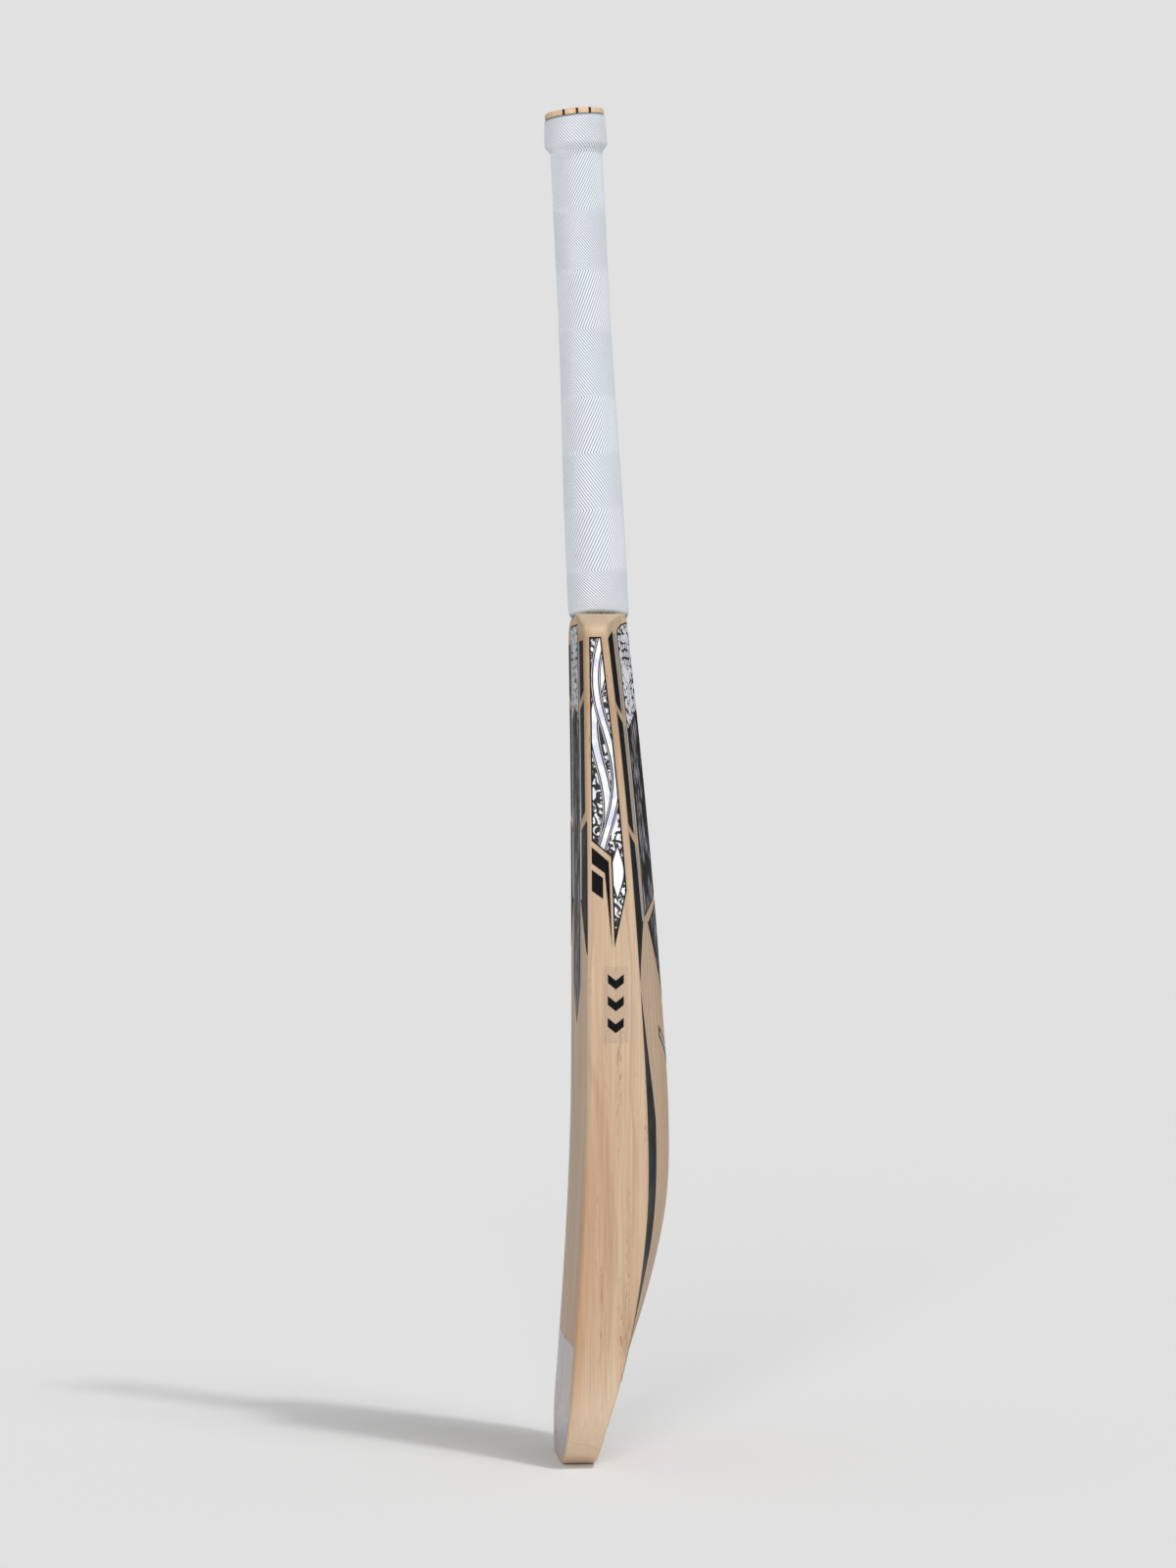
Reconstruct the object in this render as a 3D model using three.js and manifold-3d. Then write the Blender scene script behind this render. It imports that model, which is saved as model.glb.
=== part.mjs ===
// A cricket bat: a willow blade, a laminated cane handle spliced into it, a rubber grip, and stickers.
// Millimetres. The origin is the middle of the toe's flat end, +Z runs up to the handle, the striking
// face looks along -Y and the width lies along X.
import * as THREE from "three";
import { mergeVertices } from "three/addons/utils/BufferGeometryUtils.js";
import Module from "manifold-3d";

const wasm = await Module();
wasm.setup();

// Blade
const bladeHeight = 532; // from the toe to the top of the shoulders
const bladeWidth = 107;
const edgeDepth = 40; // face to back corner, where the edge is thickest
const spineRise = 19; // from the back corner up to the spine
const facePlane = 3; // the flattest part of the face, behind the middle of the toe
const toeSweep = 12.1; // how far the toe is bowed forward of that
const faceCrown = 1.2;
const faceCornerRadius = 3;
const backCornerRadius = 1.2;
const spineRadius = 9;
const flankHollow = 1.15; // 1 is a straight flank, more is a hollower one
const toeCornerWidth = 34;
const toeCornerHeight = 37;
const shoulderDrop = 9; // from the handle down to the edge
const shoulderCorner = 8;

// Handle and splice
const handleLength = 317.5; // above the shoulders, along the handle
const handleTilt = THREE.MathUtils.degToRad(2.8); // the handle leans towards the face
const handleSet = 12.7; // the handle's middle at the shoulders, behind the face plane
const handleOval = 0.93; // width over depth
const coreBaseRadius = 16.4;
const coreTopRadius = 13.7;
const taperStart = 30;
const taperEnd = 200;
const flareRise = 3.2; // the core widens under the grip's collar
const flareStart = 289;
const flareEnd = 296;
const capRadius = 18.7; // the end of the cane, above the grip
const capHeight = 3.7;
const capRounding = 1.5;
const topSlant = Math.tan(THREE.MathUtils.degToRad(3.2)); // the handle's end is cut lower at the front
const spliceWidth = 34;
const spliceLength = 145;
const spliceTipWidth = 2;
const stripSpacing = 8.3;
const stripThickness = 1.5;
const canesAcross = 3;

// Sleeves
const bindingThickness = 0.5;
const bindingTop = 280;
const gripWall = 1.6;

// Stickers
const stickerThickness = 0.3;
const clearance = 0.3; // between any two pieces
const stickerGap = 3; // wood left between two stickers
const labelTop = 16; // the distances named Top and Bottom are measured down from the shoulders
const labelNotch = 142;
const labelBottom = 208;
const labelFaceInset = 3;
const labelBackInset = 4;
const hookGap = 1.6; // between the label's point and the hook's spear
const edgeBadgeTop = 220;
const edgeBadgeBottom = 267;
const edgeBadgeWidth = 16;
const badgeShift = 1.5; // towards the back
const bandInset = 4.5;
const bandWidth = 19;
const bandTops = [18, 55, 130];
const bandBottoms = [49, 124, 213];
const backBandInset = 2;
const backBandWidth = 12;
const backBandTops = [17, 62, 137];
const backBandBottoms = [56, 131, 229];
const faceStickerTop = 7;
const faceStickerBottom = 257;
const backStickerTop = 5; // at the spine
const backStickerShoulder = 15; // at its sides
const backStickerBottom = 190;
const backDartTop = 194;
const backDartBottom = 242;
const badgeTop = 258;
const badgeBottom = 284;
const badgeHalfWidth = 18;
const badgeBar = 7;
const stripeTop = 236;
const stripeEnd = 55; // above the toe
const stripeWidth = 15;
const filmTop = 76; // above the toe
const filmInset = 1.5;

// Fineness of the faceted solids
const bladeLevels = 22;
const flankSteps = 6;
const faceSteps = 3;
const cornerSteps = 2;
const roundSteps = 24;

const colours = {
  willow: { color: 0xd9c3a4, roughness: 0.55, metalness: 0 },
  cane: { color: 0xc9a878, roughness: 0.6, metalness: 0 },
  strip: { color: 0x2a2726, roughness: 0.8, metalness: 0 },
  twine: { color: 0xe4dcc8, roughness: 0.85, metalness: 0 },
  grip: { color: 0xe3e8ee, roughness: 0.5, metalness: 0 },
  label: { color: 0xf1f1f1, roughness: 0.3, metalness: 0 },
  black: { color: 0x101012, roughness: 0.3, metalness: 0 },
  silver: { color: 0xb9bcc2, roughness: 0.3, metalness: 0.6 },
  film: { color: 0xcfc6ba, roughness: 0.25, metalness: 0 },
};

// A smooth height-to-value curve through a few points
function curveThrough(points) {
  const spots = points.map((p) => p[0]);
  const values = points.map((p) => p[1]);
  const fit = new THREE.CubicInterpolant(spots, values, 1);
  return (share) => fit.evaluate(share)[0];
}

// Shares of the blade's height from the toe, and shares of the named depth
const toeSweepShape = curveThrough([
  [0, 1], [0.05, 0.92], [0.1, 0.76], [0.2, 0.45], [0.3, 0.2], [0.4, 0.04], [0.5, 0], [0.7, 0], [0.85, 0.06], [1, 0.16],
]);
const edgeShape = curveThrough([
  [0, 0.46], [0.05, 0.6], [0.1, 0.75], [0.2, 0.93], [0.3, 1], [0.4, 0.955], [0.6, 0.79], [0.8, 0.585], [1, 0.32],
]);
const spineShape = curveThrough([
  [0, 0.1], [0.1, 0.27], [0.2, 0.62], [0.3, 0.92], [0.36, 1], [0.6, 0.98], [0.8, 0.95], [1, 1],
]);

function faceAt(z) {
  return facePlane - toeSweep * toeSweepShape(z / bladeHeight);
}

function backCornerAt(z) {
  return faceAt(z) + edgeDepth * edgeShape(z / bladeHeight);
}

function spineAt(z) {
  return backCornerAt(z) + spineRise * spineShape(z / bladeHeight);
}

// Depth of the back surface at a distance x from the middle, between the rounded spine and the corner
function backAt(x, z) {
  const half = bladeWidth / 2;
  const bend = Math.hypot(x, spineRadius) - spineRadius;
  const fullBend = Math.hypot(half, spineRadius) - spineRadius;
  const share = Math.pow(1 - Math.min(1, bend / fullBend), flankHollow);
  return THREE.MathUtils.lerp(backCornerAt(z), spineAt(z), share);
}

function arc(centreX, centreY, radius, from, to, steps) {
  const points = [];
  for (let i = 0; i <= steps; i += 1) {
    const angle = THREE.MathUtils.degToRad(THREE.MathUtils.lerp(from, to, i / steps));
    points.push([centreX + radius * Math.cos(angle), centreY + radius * Math.sin(angle)]);
  }
  return points;
}

// One loop round the blade at height z, anticlockwise from above; swell moves it outwards
function bladeLoop(z, level, swell) {
  const half = bladeWidth / 2;
  const side = half + swell;
  const faceRadius = faceCornerRadius + swell;
  const backRadius = backCornerRadius + swell;
  const right = [];
  for (let i = 0; i < faceSteps; i += 1) {
    const x = ((half - faceCornerRadius) * i) / faceSteps;
    const crown = faceCrown * (1 - Math.pow(x / (half - faceCornerRadius), 2));
    right.push([x, faceAt(z) - crown - swell]);
  }
  right.push(...arc(side - faceRadius, faceAt(z) - swell + faceRadius, faceRadius, -90, 0, cornerSteps));
  right.push(...arc(side - backRadius, backCornerAt(z) + swell - backRadius, backRadius, 0, 80, cornerSteps));
  for (let i = flankSteps - 1; i > 0; i -= 1) {
    const x = half * Math.pow(i / flankSteps, 1.3);
    right.push([x, backAt(x, z) + swell]);
  }
  const left = right.slice(1).reverse();
  const loop = [...right, [0, spineAt(z) + swell], ...left.map(([x, y]) => [-x, y])];
  return loop.map(([x, y]) => new THREE.Vector3(x, y, level));
}

// A closed surface through loops of equal count, with flat ends
function loft(loops) {
  const count = loops[0].length;
  const points = loops.flat();
  const faces = [];
  for (let row = 0; row + 1 < loops.length; row += 1) {
    for (let i = 0; i < count; i += 1) {
      const a = row * count + i;
      const b = row * count + ((i + 1) % count);
      faces.push(a, b, b + count, a, b + count, a + count);
    }
  }
  for (const [row, flip] of [[0, true], [loops.length - 1, false]]) {
    const middle = points.length;
    const centre = new THREE.Vector3();
    loops[row].forEach((p) => centre.addScaledVector(p, 1 / count));
    points.push(centre);
    for (let i = 0; i < count; i += 1) {
      const a = row * count + i;
      const b = row * count + ((i + 1) % count);
      faces.push(...(flip ? [b, a, middle] : [a, b, middle]));
    }
  }
  const geometry = new THREE.BufferGeometry().setFromPoints(points);
  geometry.setIndex(faces);
  return geometry;
}

function solidOf(geometry) {
  const bare = geometry.clone();
  bare.deleteAttribute("normal");
  bare.deleteAttribute("uv");
  const merged = mergeVertices(bare, 1e-4);
  const vertProperties = new Float32Array(merged.attributes.position.array);
  const triVerts = new Uint32Array(merged.index.array);
  return new wasm.Manifold(new wasm.Mesh({ numProp: 3, vertProperties, triVerts }));
}

function geometryOf(solid) {
  const mesh = solid.getMesh();
  const geometry = new THREE.BufferGeometry();
  geometry.setAttribute("position", new THREE.BufferAttribute(new Float32Array(mesh.vertProperties), 3));
  geometry.setIndex(new THREE.BufferAttribute(new Uint32Array(mesh.triVerts), 1));
  geometry.computeVertexNormals();
  return geometry;
}

// The blade's whole outer surface, before its outline is cut
function bladeSkin(swell) {
  const overrun = 5;
  const loops = [bladeLoop(0, -overrun, swell)];
  for (let i = 0; i <= bladeLevels; i += 1) {
    const z = bladeHeight * Math.pow(i / bladeLevels, 1.2);
    loops.push(bladeLoop(z, z, swell));
  }
  loops.push(bladeLoop(bladeHeight, bladeHeight + overrun, swell));
  return solidOf(loft(loops));
}

const reach = 200; // half the length of a cutting prism, more than any depth of the bat

// A shape drawn as x, z and run through the whole depth
function throughDepth(shape) {
  const prism = new THREE.ExtrudeGeometry(shape, { depth: 2 * reach, bevelEnabled: false, curveSegments: 8 });
  prism.translate(0, 0, -reach);
  prism.rotateX(Math.PI / 2);
  return prism;
}

// A shape drawn as y, z and run outwards from the middle of the bat
function throughSide(shape) {
  const prism = new THREE.ExtrudeGeometry(shape, { depth: reach, bevelEnabled: false, curveSegments: 8 });
  const turn = new THREE.Matrix4().makeBasis(
    new THREE.Vector3(0, 1, 0),
    new THREE.Vector3(0, 0, 1),
    new THREE.Vector3(1, 0, 0),
  );
  return prism.applyMatrix4(turn);
}

function shapeOf(points) {
  return new THREE.Shape(points.map(([a, b]) => new THREE.Vector2(a, b)));
}

function box(from, to) {
  const size = to.clone().sub(from);
  const middle = from.clone().add(to).multiplyScalar(0.5);
  return new THREE.BoxGeometry(size.x, size.y, size.z).translate(middle.x, middle.y, middle.z);
}

// Front outline with a rounded toe and sloping shoulders; inset draws it smaller
function bladeOutline(inset) {
  const half = bladeWidth / 2 - inset;
  const toeX = bladeWidth / 2 - toeCornerWidth;
  const toeRight = [toeX, toeCornerHeight, toeCornerWidth - inset, toeCornerHeight - inset];
  const neck = spliceWidth / 2;
  const slope = shoulderDrop / (bladeWidth / 2 - neck);
  const edgeTop = bladeHeight - shoulderDrop;
  const shape = new THREE.Shape();
  shape.moveTo(toeX, inset);
  shape.absellipse(...toeRight, -Math.PI / 2, 0, false, 0);
  shape.lineTo(half, edgeTop - shoulderCorner);
  shape.quadraticCurveTo(half, edgeTop, half - shoulderCorner, edgeTop + slope * shoulderCorner);
  shape.lineTo(neck, bladeHeight);
  shape.lineTo(-neck, bladeHeight);
  shape.lineTo(-half + shoulderCorner, edgeTop + slope * shoulderCorner);
  shape.quadraticCurveTo(-half, edgeTop, -half, edgeTop - shoulderCorner);
  shape.lineTo(-half, toeCornerHeight);
  shape.absellipse(-toeX, toeCornerHeight, toeRight[2], toeRight[3], Math.PI, 1.5 * Math.PI, false, 0);
  return shape;
}

// The V of the splice as seen from the face; spare widens it on each side
function spliceOutline(spare, top) {
  const tip = spliceTipWidth / 2 + spare;
  const bottom = bladeHeight - spliceLength - spare;
  const growth = (spliceWidth - spliceTipWidth) / 2 / spliceLength;
  const wide = spliceWidth / 2 + spare + growth * (top - bladeHeight);
  return shapeOf([[-tip, bottom], [tip, bottom], [wide, top], [-wide, top]]);
}

function makeBlade() {
  const outline = solidOf(throughDepth(bladeOutline(0)));
  const slot = solidOf(throughDepth(spliceOutline(clearance, bladeHeight + 20)));
  return geometryOf(bladeSkin(0).intersect(outline).subtract(slot));
}

// Depth radius of the handle's core at a distance along the handle
function coreRadius(along) {
  const taper = THREE.MathUtils.smoothstep(along, taperStart, taperEnd);
  const flare = THREE.MathUtils.smoothstep(along, flareStart, flareEnd);
  return THREE.MathUtils.lerp(coreBaseRadius, coreTopRadius, taper) + flareRise * flare;
}

function ovalLoop(radius, along, slant = 0) {
  const loop = [];
  for (let i = 0; i < roundSteps; i += 1) {
    const angle = (2 * Math.PI * i) / roundSteps;
    const y = radius * Math.sin(angle);
    loop.push(new THREE.Vector3(handleOval * radius * Math.cos(angle), y, along + slant * y));
  }
  return loop;
}

// Places along the handle where its radius bends
function handleStations(from, to) {
  const stations = [from];
  for (let i = 1; i <= 5; i += 1) stations.push(THREE.MathUtils.lerp(taperStart, taperEnd, i / 6));
  stations.push(taperEnd, flareStart, (flareStart + flareEnd) / 2, flareEnd);
  return [...stations.filter((s) => s >= from && s < to), to];
}

function handleShaft() {
  const seat = handleLength - capHeight;
  const inBlade = 8;
  const loops = handleStations(0, seat).map((s) => ovalLoop(coreRadius(s), s, s === seat ? topSlant : 0));
  loops.unshift(ovalLoop(coreBaseRadius - 1, -inBlade)); // narrower, so it stays inside the face
  loops.push(ovalLoop(capRadius, seat + clearance, topSlant));
  loops.push(ovalLoop(capRadius, handleLength - capRounding, topSlant));
  loops.push(ovalLoop(capRadius - capRounding / 3, handleLength - capRounding / 3, topSlant));
  loops.push(ovalLoop(capRadius - capRounding, handleLength, topSlant));
  return solidOf(loft(loops));
}

// A round wall on the core; slant tips its top end
function sleeve(inner, outer, from, to, slant = 0) {
  const stations = handleStations(from, to);
  const tip = (s) => (s >= to ? slant : 0);
  const outside = solidOf(loft(stations.map((s) => ovalLoop(coreRadius(s) + outer, s, tip(s)))));
  const longer = [from - 1, ...stations.slice(1, -1), to + 1];
  const inside = solidOf(loft(longer.map((s) => ovalLoop(coreRadius(s) + inner, s, tip(s)))));
  return geometryOf(outside.subtract(inside));
}

function place(geometry, name, colour) {
  const mesh = new THREE.Mesh(geometry, new THREE.MeshStandardMaterial(colours[colour]));
  mesh.name = name;
  return mesh;
}

const bat = new THREE.Group();
bat.add(place(makeBlade(), "blade", "willow"));

const handle = new THREE.Group();
handle.position.set(0, facePlane + handleSet, bladeHeight);
handle.rotation.x = handleTilt;
handle.updateMatrixWorld(true);
bat.add(handle);

// The handle's core fills the V in the blade, flush with the face and the back, and its round shaft
// keeps to the V below the shoulders
function handleCore() {
  const toHandle = handle.matrixWorld.clone().invert();
  const prism = solidOf(throughDepth(spliceOutline(0, bladeHeight + 2 * clearance)));
  const wedge = bladeSkin(0).intersect(prism);
  const low = new THREE.Vector3(-reach, -reach, bladeHeight + clearance);
  const above = solidOf(box(low, new THREE.Vector3(reach, reach, bladeHeight + 2 * handleLength)));
  const shaft = solidOf(geometryOf(handleShaft()).applyMatrix4(handle.matrixWorld));
  const whole = wedge.add(shaft.intersect(prism.add(above)));
  return solidOf(geometryOf(whole).applyMatrix4(toHandle));
}

const core = handleCore();

// Four slips of cane with a rubber strip between each two, in the handle's own axes
function layer(y0, y1, x0, x1) {
  const low = new THREE.Vector3(x0, y0, -reach);
  const high = new THREE.Vector3(x1, y1, handleLength + 5);
  return geometryOf(core.intersect(solidOf(box(low, high))));
}

const stripPlaces = [-stripSpacing, 0, stripSpacing];
stripPlaces.forEach((y, i) => {
  const half = stripThickness / 2;
  handle.add(place(layer(y - half, y + half, -reach, reach), "rubber_strip_" + (i + 1), "strip"));
});

const slipEdge = stripThickness / 2 + clearance;
const slipBounds = [-reach, ...stripPlaces.flatMap((y) => [y - slipEdge, y + slipEdge]), reach];
const caneWidth = spliceWidth / canesAcross;
for (let slip = 0; slip <= stripPlaces.length; slip += 1) {
  for (let across = 0; across < canesAcross; across += 1) {
    const from = across === 0 ? -reach : -spliceWidth / 2 + across * caneWidth + clearance / 2;
    const to = across === canesAcross - 1 ? reach : -spliceWidth / 2 + (across + 1) * caneWidth - clearance / 2;
    const piece = layer(slipBounds[2 * slip], slipBounds[2 * slip + 1], from, to);
    handle.add(place(piece, "cane_slip_" + (slip + 1) + "_" + (across + 1), "cane"));
  }
}

const bindingInner = clearance;
const bindingOuter = bindingInner + bindingThickness;
const gripInner = bindingOuter + clearance;
const gripEnd = handleLength - capHeight;
// The splice ends level with the shoulders, so the leaning sleeves start where its front edge is cleared
const sleeveStart = spliceWidth * Math.sin(handleTilt) + clearance;
handle.add(place(sleeve(bindingInner, bindingOuter, sleeveStart, bindingTop), "twine_binding", "twine"));
handle.add(place(sleeve(gripInner, gripInner + gripWall, sleeveStart, gripEnd, topSlant), "grip", "grip"));

// Every sticker is a piece of one thin shell that stands just off the blade
const stickerShell = bladeSkin(clearance + stickerThickness).subtract(bladeSkin(clearance));
const half = bladeWidth / 2;
const down = (distance) => bladeHeight - distance;

function cutSticker(prism, from, to) {
  const part = stickerShell.intersect(solidOf(prism));
  return geometryOf(part.intersect(solidOf(box(from, to))));
}

// All of the face lies in front of the face plane
function onFace(points) {
  const low = new THREE.Vector3(-reach, -reach, 0);
  return cutSticker(throughDepth(shapeOf(points)), low, new THREE.Vector3(reach, facePlane, bladeHeight));
}

function onBack(points) {
  const prism = solidOf(throughDepth(shapeOf(points)));
  const sides = solidOf(throughSide(backHalf()));
  const bothSides = sides.add(solidOf(throughSide(backHalf()).translate(-reach, 0, 0)));
  return geometryOf(stickerShell.intersect(prism).intersect(bothSides));
}

// Everything behind a line halfway through the edge, from the side
function backHalf() {
  const levels = 12;
  const line = [];
  for (let i = 0; i <= levels; i += 1) {
    const z = (bladeHeight * i) / levels;
    line.push([(faceAt(z) + backCornerAt(z)) / 2, z]);
  }
  return shapeOf([[reach, 0], [reach, bladeHeight], ...line.reverse()]);
}

function onEdge(points) {
  const low = new THREE.Vector3(half, -reach, 0);
  return cutSticker(throughSide(shapeOf(points)), low, new THREE.Vector3(reach, reach, bladeHeight));
}

// The same sticker on both sides of the bat; the left one is its mirror image
function addPair(geometry, name, colour) {
  bat.add(place(geometry, name + "_right", colour));
  const left = place(geometry, name + "_left", colour);
  left.scale.x = -1;
  bat.add(left);
}

// Points along a line of the edge, seen from the side
function border(line, from, to, steps) {
  const points = [];
  for (let i = 0; i <= steps; i += 1) {
    const z = down(THREE.MathUtils.lerp(from, to, i / steps));
    points.push([line(z), z]);
  }
  return points;
}

const labelFront = (z) => faceAt(z) + labelFaceInset;
const labelBack = (z) => backCornerAt(z) - labelBackInset;
const midEdge = (z) => (labelFront(z) + labelBack(z)) / 2;
const spearEdge = (z) => midEdge(z) + 2; // the front edge of the label's point
const hookEdge = (z) => spearEdge(z) - hookGap;

// Edge label: wide down to the notch, then a blade-like point behind it
function edgeLabel() {
  const notchDepth = 10;
  const shoulder = labelBottom - 35;
  const tipZ = down(labelBottom);
  return onEdge([
    ...border(labelFront, labelTop, labelNotch, 4),
    [spearEdge(down(labelNotch + notchDepth)), down(labelNotch + notchDepth)],
    [spearEdge(tipZ), tipZ],
    ...border(labelBack, shoulder, labelTop, 6),
  ]);
}

// Black hook under the notch: a slanted bar with a long spear down beside the label
function edgeHook() {
  const top = labelNotch + 4;
  const bar = 10;
  const spearTop = top + bar;
  return onEdge([
    [labelFront(down(top)), down(top)],
    [labelFront(down(top + bar)), down(top + bar)],
    [hookEdge(down(spearTop + 6)) - 2.8, down(spearTop + 6)],
    [hookEdge(down(labelBottom)), down(labelBottom)],
    [hookEdge(down(spearTop - 1)), down(spearTop - 1)],
  ]);
}

// A small clear label with a printed mark, lower down the edge
function edgeBadge() {
  const middle = midEdge(down((edgeBadgeTop + edgeBadgeBottom) / 2)) + badgeShift;
  const side = edgeBadgeWidth / 2;
  return onEdge([
    [middle - side, down(edgeBadgeTop)],
    [middle - side, down(edgeBadgeBottom)],
    [middle + side, down(edgeBadgeBottom)],
    [middle + side, down(edgeBadgeTop)],
  ]);
}

function edgeTab() {
  const top = labelNotch + 18;
  const tall = 13;
  const slant = 5;
  const across = 7;
  const left = labelFront(down(top));
  return onEdge([
    [left, down(top)],
    [left, down(top + tall)],
    [left + across, down(top + tall + slant)],
    [left + across, down(top + slant)],
  ]);
}

addPair(edgeLabel(), "edge_label", "label");
addPair(edgeHook(), "edge_hook", "black");
addPair(edgeTab(), "edge_tab", "black");
addPair(edgeBadge(), "edge_badge", "film");

// Bands beside a corner, cut lower on their inner side; the lowest one widens and ends in a dart
function bands(tops, bottoms, outer, wide, slant, dartHeight, make, name) {
  tops.forEach((top, i) => {
    const last = i === tops.length - 1;
    const inner = outer - wide;
    const end = down(bottoms[i]);
    const tip = [[outer, end], [inner - 6, end + dartHeight]];
    const cut = [[outer, end], [inner, end - slant]];
    const topSlope = i === 0 ? 0 : slant;
    const points = [[inner, down(top) - topSlope], [outer, down(top)], ...(last ? tip : cut)];
    addPair(make(points.reverse()), name + "_" + (i + 1), "black");
  });
}

const bandInner = half - bandInset - bandWidth;
const backBandInner = half - backBandInset - backBandWidth;
bands(bandTops, bandBottoms, half - bandInset, bandWidth, 6, 33, onFace, "front_band");
bands(backBandTops, backBandBottoms, half - backBandInset, backBandWidth, 7, 36, onBack, "back_band");

const faceHalf = bandInner - 6 - stickerGap;
const facePoint = 25;
const faceTop = down(faceStickerTop);
bat.add(
  place(
    onFace([
      [-faceHalf, faceTop],
      [-faceHalf, down(faceStickerBottom - facePoint)],
      [0, down(faceStickerBottom)],
      [faceHalf, down(faceStickerBottom - facePoint)],
      [faceHalf, faceTop],
    ]),
    "face_sticker",
    "label",
  ),
);

// The back sticker ends in a chevron that points up at the spine
const backHalfWidth = backBandInner - 6 - stickerGap;
const chevron = 16;
bat.add(
  place(
    onBack([
      [0, down(backStickerTop)],
      [-0.6 * backHalfWidth, down(backStickerTop + 1.5)],
      [-0.9 * backHalfWidth, down(backStickerShoulder - 3.5)],
      [-backHalfWidth, down(backStickerShoulder)],
      [-backHalfWidth, down(backStickerBottom)],
      [0, down(backStickerBottom - chevron)],
      [backHalfWidth, down(backStickerBottom)],
      [backHalfWidth, down(backStickerShoulder)],
      [0.9 * backHalfWidth, down(backStickerShoulder - 3.5)],
      [0.6 * backHalfWidth, down(backStickerTop + 1.5)],
    ]),
    "back_sticker",
    "label",
  ),
);

// A pair of darts below the chevron
const dartInner = 2;
addPair(
  onBack([
    [dartInner, down(backDartTop - chevron + 2)],
    [dartInner, down(backDartBottom)],
    [backHalfWidth - 6, down(backDartTop)],
  ]),
  "back_dart",
  "black",
);

bat.add(
  place(
    onBack([
      [-badgeHalfWidth, down(badgeTop)],
      [-badgeHalfWidth, down(badgeTop + badgeBar)],
      [0, down(badgeBottom)],
      [badgeHalfWidth, down(badgeTop + badgeBar)],
      [badgeHalfWidth, down(badgeTop)],
      [0, down(badgeBottom - badgeBar)],
    ]),
    "back_badge",
    "silver",
  ),
);

// A long stripe beside the lower back corner, pointed at both ends
const stripeOuter = half - backBandInset;
const stripeMiddle = (down(stripeTop) + stripeEnd) / 2;
const stripeCurve = 40;
addPair(
  onBack([
    [stripeOuter, down(stripeTop)],
    [stripeOuter - stripeWidth, stripeMiddle + stripeCurve],
    [stripeOuter - stripeWidth, stripeMiddle - stripeCurve],
    [stripeOuter, stripeEnd],
  ]),
  "back_stripe",
  "black",
);

// Clear film over the lowest part of the face, inside the toe's outline
function toeFilm() {
  const outline = solidOf(throughDepth(bladeOutline(filmInset + faceCornerRadius)));
  const low = new THREE.Vector3(-reach, -reach, filmInset);
  const front = solidOf(box(low, new THREE.Vector3(reach, facePlane, filmTop)));
  return geometryOf(stickerShell.intersect(outline).intersect(front));
}

bat.add(place(toeFilm(), "toe_film", "film"));

export default bat;
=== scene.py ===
import math
import random
import bpy
import bmesh
from mathutils import Matrix, Vector


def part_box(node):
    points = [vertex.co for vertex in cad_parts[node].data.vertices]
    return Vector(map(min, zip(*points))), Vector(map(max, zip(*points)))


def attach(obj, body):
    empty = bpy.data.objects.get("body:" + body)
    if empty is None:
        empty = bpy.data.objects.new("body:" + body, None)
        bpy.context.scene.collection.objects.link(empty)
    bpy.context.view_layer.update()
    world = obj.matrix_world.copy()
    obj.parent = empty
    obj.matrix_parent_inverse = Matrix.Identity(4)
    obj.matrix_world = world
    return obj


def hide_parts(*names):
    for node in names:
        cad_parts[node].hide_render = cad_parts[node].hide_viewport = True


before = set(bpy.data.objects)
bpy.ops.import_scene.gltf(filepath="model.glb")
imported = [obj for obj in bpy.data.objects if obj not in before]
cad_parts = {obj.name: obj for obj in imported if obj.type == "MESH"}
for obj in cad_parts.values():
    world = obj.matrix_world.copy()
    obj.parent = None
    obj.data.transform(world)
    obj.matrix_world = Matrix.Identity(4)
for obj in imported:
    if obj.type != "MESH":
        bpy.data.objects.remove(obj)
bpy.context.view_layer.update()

# pieces are drawn in millimetres in the bat's own frame, and scaled to metres when they are added
mm = 0.001
scene = bpy.context.scene


# helpers for shapes

def mix(a, b, share):
    return a + (b - a) * share


def smoothStep(value, low, high):
    t = min(1, max(0, (value - low) / (high - low)))
    return t * t * (3 - 2 * t)


def curveThrough(points):
    # smooth curve through [place, value] points, each slope the mean of the two beside it
    chords = [(b[1] - a[1]) / (b[0] - a[0]) for a, b in zip(points, points[1:])]
    slopes = [chords[0]] + [(a + b) / 2 for a, b in zip(chords, chords[1:])] + [chords[-1]]

    def at(place):
        i = 0
        while i < len(points) - 2 and place > points[i + 1][0]:
            i += 1
        span = points[i + 1][0] - points[i][0]
        t = (place - points[i][0]) / span
        start = (1 + 2 * t) * (1 - t) ** 2 * points[i][1] + t * (1 - t) ** 2 * span * slopes[i]
        end = t * t * (3 - 2 * t) * points[i + 1][1] + t * t * (t - 1) * span * slopes[i + 1]
        return start + end

    return at


def gridOnto(columns, rows, pointAt):
    # a sheet of columns by rows, each vertex moved to pointAt(column, row)
    bm = bmesh.new()
    bmesh.ops.create_grid(bm, x_segments=columns, y_segments=rows, size=1)
    for v in bm.verts:
        v.co = pointAt(round((v.co.x + 1) / 2 * columns), round((v.co.y + 1) / 2 * rows))
    bmesh.ops.remove_doubles(bm, verts=bm.verts, dist=0.0005)
    return bm


def closeUp(bm):
    openEdges = [e for e in bm.edges if e.is_boundary]
    if openEdges:
        bmesh.ops.holes_fill(bm, edges=openEdges, sides=0)
    bmesh.ops.recalc_face_normals(bm, faces=bm.faces)
    return bm


def draftOf(bm, name):
    mesh = bpy.data.meshes.new(name)
    bm.to_mesh(mesh)
    bm.free()
    draft = bpy.data.objects.new(name, mesh)
    scene.collection.objects.link(draft)
    return draft


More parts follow.
